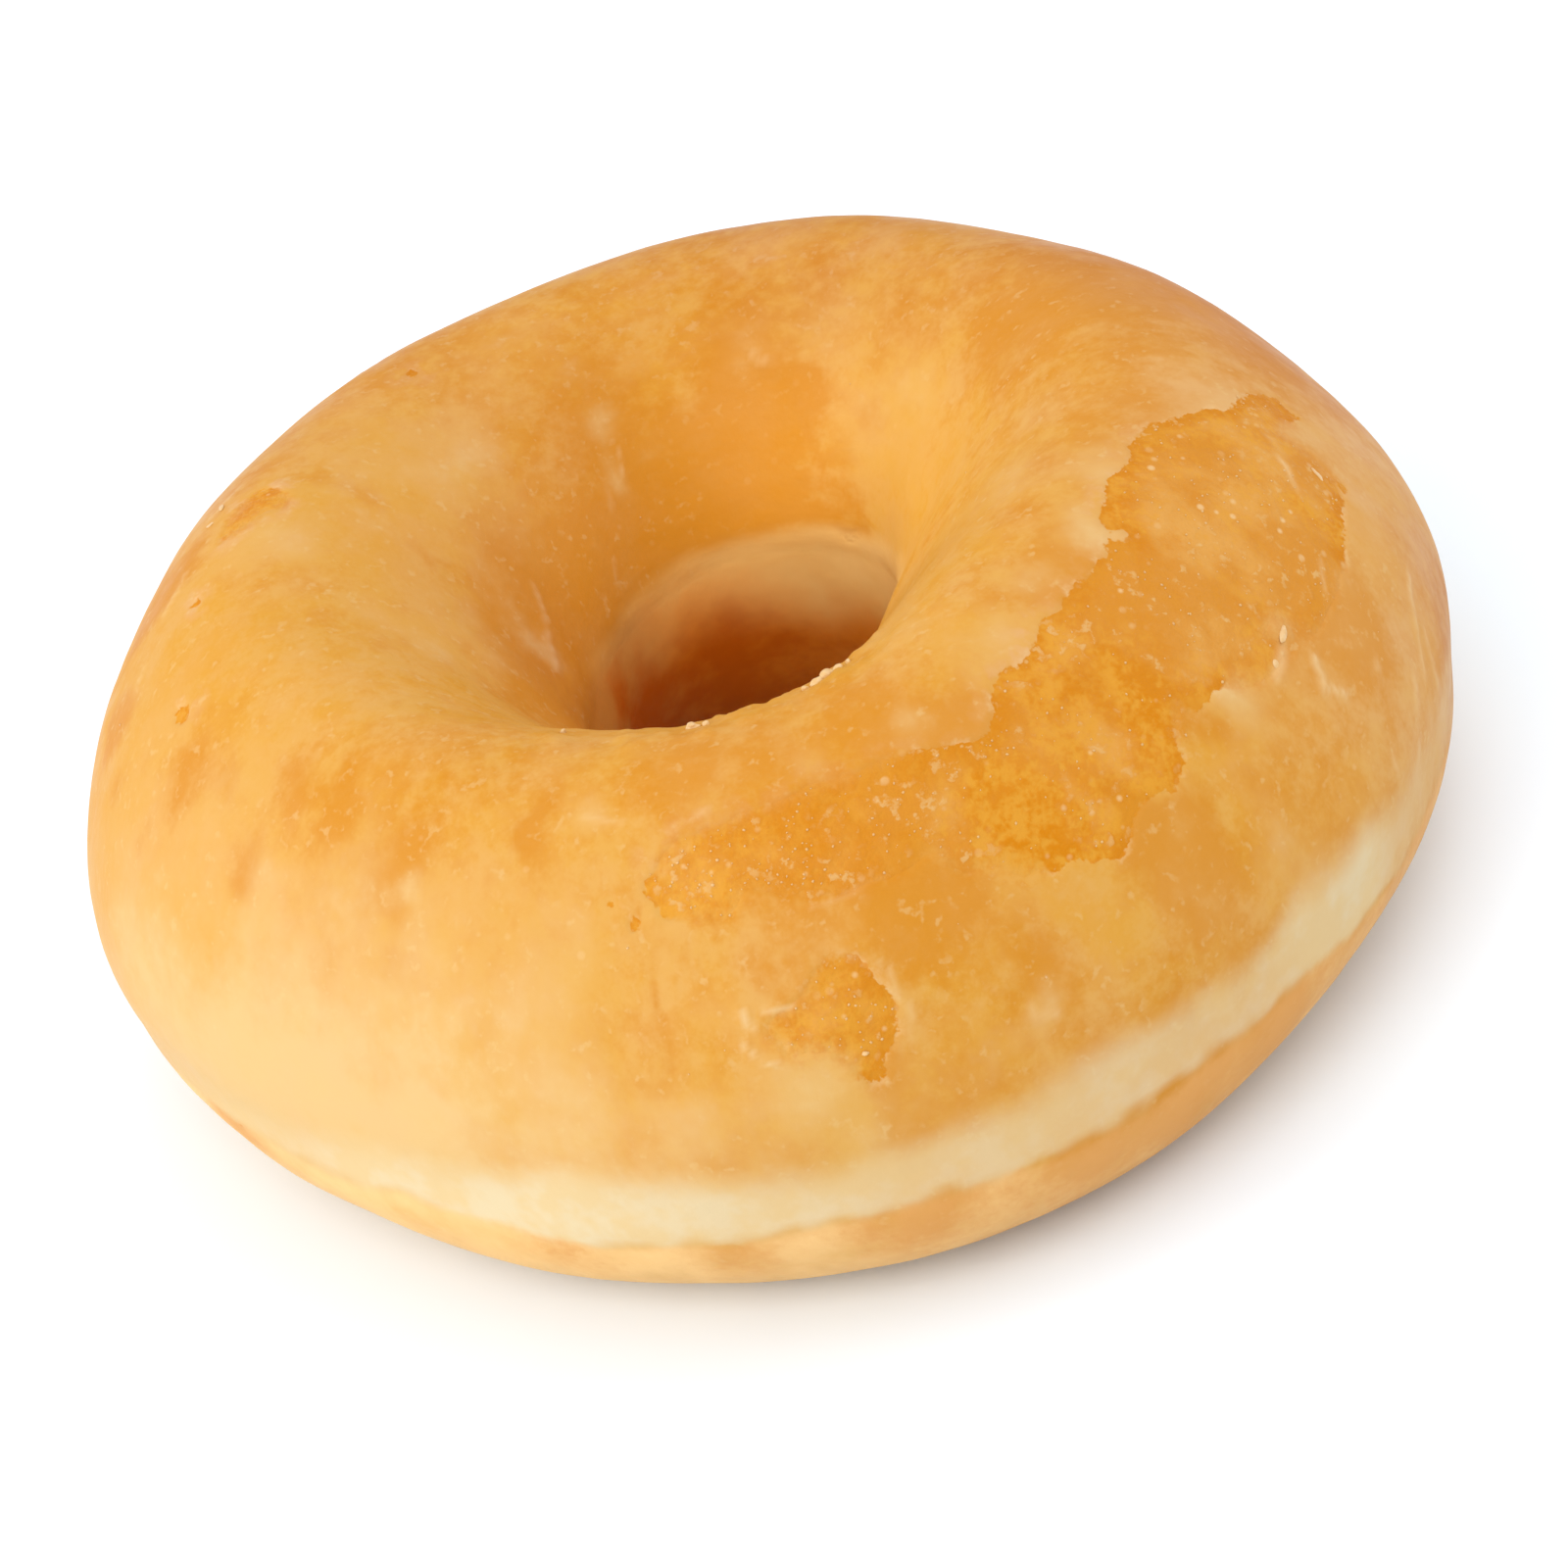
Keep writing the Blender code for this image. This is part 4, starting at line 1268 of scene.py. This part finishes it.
class DOUGHNUT_OT_crumbs(bpy.types.Operator):
    """Add the sugar crumbs, close together on the bare crust and sparse elsewhere"""

    bl_idname = "doughnut.crumbs"
    bl_label = "Sugar crumbs"

    def execute(self, context):
        scene = context.scene
        glaze, finish, crumbs = scene.doughnut_glaze, scene.doughnut_finish, scene.doughnut_crumbs
        azimuth, section, random = scattered(crumbs.crumbs, 5, glaze.raggedness)
        count = len(azimuth)
        radius = crumbs.crumb_radius * random.uniform(0.5, 1.5, count)
        sizes = radius[:, None] * random.uniform(0.7, 1.3, (count, 3)) * np.array([1.0, 1.0, 0.7])
        lift = top_lift(azimuth, section, glaze) + 0.05 * radius
        heading = random.uniform(0.0, 360.0, count)
        points, faces = many_blobs(azimuth, section, sizes, heading, lift, 0, 6)
        add_sugar("sugar_crumbs", points, faces, finish, 0.55)
        return {"FINISHED"}


class DOUGHNUT_OT_chips(bpy.types.Operator):
    """Add the chips of glaze that lie on the ring, on the lip of the hole and inside the flaked places"""

    bl_idname = "doughnut.chips"
    bl_label = "Glaze chips"

    def execute(self, context):
        scene = context.scene
        glaze, finish = scene.doughnut_glaze, scene.doughnut_finish
        azimuth, section, length, width, height, heading = np.array(LAID_CHIPS, dtype=float).T
        lift = top_lift(azimuth, section, glaze) + 0.2 * height * MILLIMETRE
        sizes = np.stack([0.5 * length, 0.5 * width, height], axis=-1) * MILLIMETRE
        points, faces = many_blobs(azimuth, section, sizes, heading, lift, 3, 7)
        add_sugar("glaze_chips", points, faces, finish, 0.8)
        return {"FINISHED"}


class DOUGHNUT_OT_stage(bpy.types.Operator):
    """Add the pale floor, the soft light and the camera"""

    bl_idname = "doughnut.stage"
    bl_label = "Stage"

    def execute(self, context):
        stage = context.scene.doughnut_stage
        add_floor(stage)
        add_light(stage)
        add_camera(context.scene, stage)
        context.scene.view_settings.view_transform = "Standard"
        return {"FINISHED"}


def add_floor(stage):
    """A wide flat floor at height 0, with a faint speckle."""
    corners = FLOOR_HALF_WIDTH * np.array([(-1, -1, 0), (1, -1, 0), (1, 1, 0), (-1, 1, 0)])
    mesh = bpy.data.meshes.new("floor")
    mesh.from_pydata(corners.tolist(), [], [(0, 1, 2, 3)])
    material, tree, shader, place = new_material("floor")
    light = (*(stage.floor_tone * tint for tint in FLOOR_TINT), 1.0)
    dark = (*(stage.floor_tone * (tint - FLOOR_SPECKLE) for tint in FLOOR_TINT), 1.0)
    speckle = mix(tree, cloud(tree, place, FLOOR_SPECKLE_SIZE), light, dark)
    tree.links.new(speckle, shader.inputs["Base Color"])
    set_plain(shader, FLOOR_GLOSS)
    mesh.materials.append(material)
    floor = bpy.data.objects.new("floor", mesh)
    bpy.context.scene.collection.objects.link(floor)


def add_light(stage):
    """Even light from all round, and large soft lamps that face the middle."""
    world = bpy.data.worlds.new("studio")
    world.use_nodes = True
    background = world.node_tree.nodes["Background"]
    background.inputs["Color"].default_value = (1.0, 1.0, 1.0, 1.0)
    background.inputs["Strength"].default_value = stage.fill
    bpy.context.scene.world = world
    for name, side, height in LAMPS:
        azimuth, elevation = np.radians(side), np.radians(height)
        level = np.cos(elevation)
        towards = Vector((np.cos(azimuth) * level, np.sin(azimuth) * level, np.sin(elevation)))
        lamp = bpy.data.lights.new(name + "_light", "AREA")
        lamp.size = LAMP_SIZE
        lamp.energy = getattr(stage, name)
        light = bpy.data.objects.new(name + "_light", lamp)
        light.location = towards * LAMP_DISTANCE
        light.rotation_euler = towards.to_track_quat("Z", "Y").to_euler()
        bpy.context.scene.collection.objects.link(light)


def add_camera(scene, stage):
    """A long lens that looks down on the middle of the ring, rolled as the photograph is."""
    elevation, roll = np.radians(stage.camera_elevation), np.radians(stage.camera_roll)
    target = np.array([0.0, 0.0, TARGET_HEIGHT]) - MIDDLE
    forward = np.array([0.0, np.cos(elevation), -np.sin(elevation)])
    level = np.array([1.0, 0.0, 0.0])
    up = np.cross(level, forward)
    right = np.cos(roll) * level - np.sin(roll) * up
    top = np.sin(roll) * level + np.cos(roll) * up
    place = target - forward * stage.camera_distance
    matrix = Matrix.Identity(4)
    for column, axis in enumerate((right, top, -forward, place)):
        for row in range(3):
            matrix[row][column] = float(axis[row])
    lens = bpy.data.cameras.new("camera")
    lens.lens = stage.lens
    lens.sensor_width = SENSOR_WIDTH
    lens.shift_x, lens.shift_y = CAMERA_SHIFT
    lens.clip_start = 0.01
    camera = bpy.data.objects.new("camera", lens)
    camera.matrix_world = matrix
    scene.collection.objects.link(camera)
    scene.camera = camera


class DOUGHNUT_PT_sidebar(bpy.types.Panel):
    """The pieces of the doughnut and its stage"""

    bl_label = "Plain Ring Doughnut"
    bl_idname = "DOUGHNUT_PT_sidebar"
    bl_space_type = "VIEW_3D"
    bl_region_type = "UI"
    bl_category = "Doughnut"

    def draw(self, context):
        for operator in OPERATORS:
            self.layout.operator(operator.bl_idname)
        for key in SETTINGS:
            settings = getattr(context.scene, key)
            box = self.layout.box()
            for name in settings.bl_rna.properties.keys():
                if name not in ("rna_type", "name"):
                    box.prop(settings, name)


SETTINGS = {
    "doughnut_glaze": DoughnutGlaze,
    "doughnut_finish": DoughnutFinish,
    "doughnut_crumbs": DoughnutCrumbs,
    "doughnut_stage": DoughnutStage,
}
OPERATORS = (
    DOUGHNUT_OT_crust,
    DOUGHNUT_OT_glaze,
    DOUGHNUT_OT_crumbs,
    DOUGHNUT_OT_chips,
    DOUGHNUT_OT_stage,
)


def register():
    """Register the settings, the operators and the panel."""
    for key, group in SETTINGS.items():
        bpy.utils.register_class(group)
        setattr(bpy.types.Scene, key, PointerProperty(type=group))
    for made in (*OPERATORS, DOUGHNUT_PT_sidebar):
        bpy.utils.register_class(made)


def unregister():
    """Take away what register() added."""
    for made in (DOUGHNUT_PT_sidebar, *reversed(OPERATORS)):
        bpy.utils.unregister_class(made)
    for key, group in reversed(SETTINGS.items()):
        delattr(bpy.types.Scene, key)
        bpy.utils.unregister_class(group)


def main():
    """Add every piece and the stage."""
    register()
    bpy.ops.doughnut.crust()
    bpy.ops.doughnut.glaze()
    bpy.ops.doughnut.crumbs()
    bpy.ops.doughnut.chips()
    bpy.ops.doughnut.stage()


if __name__ == "__main__":
    main()
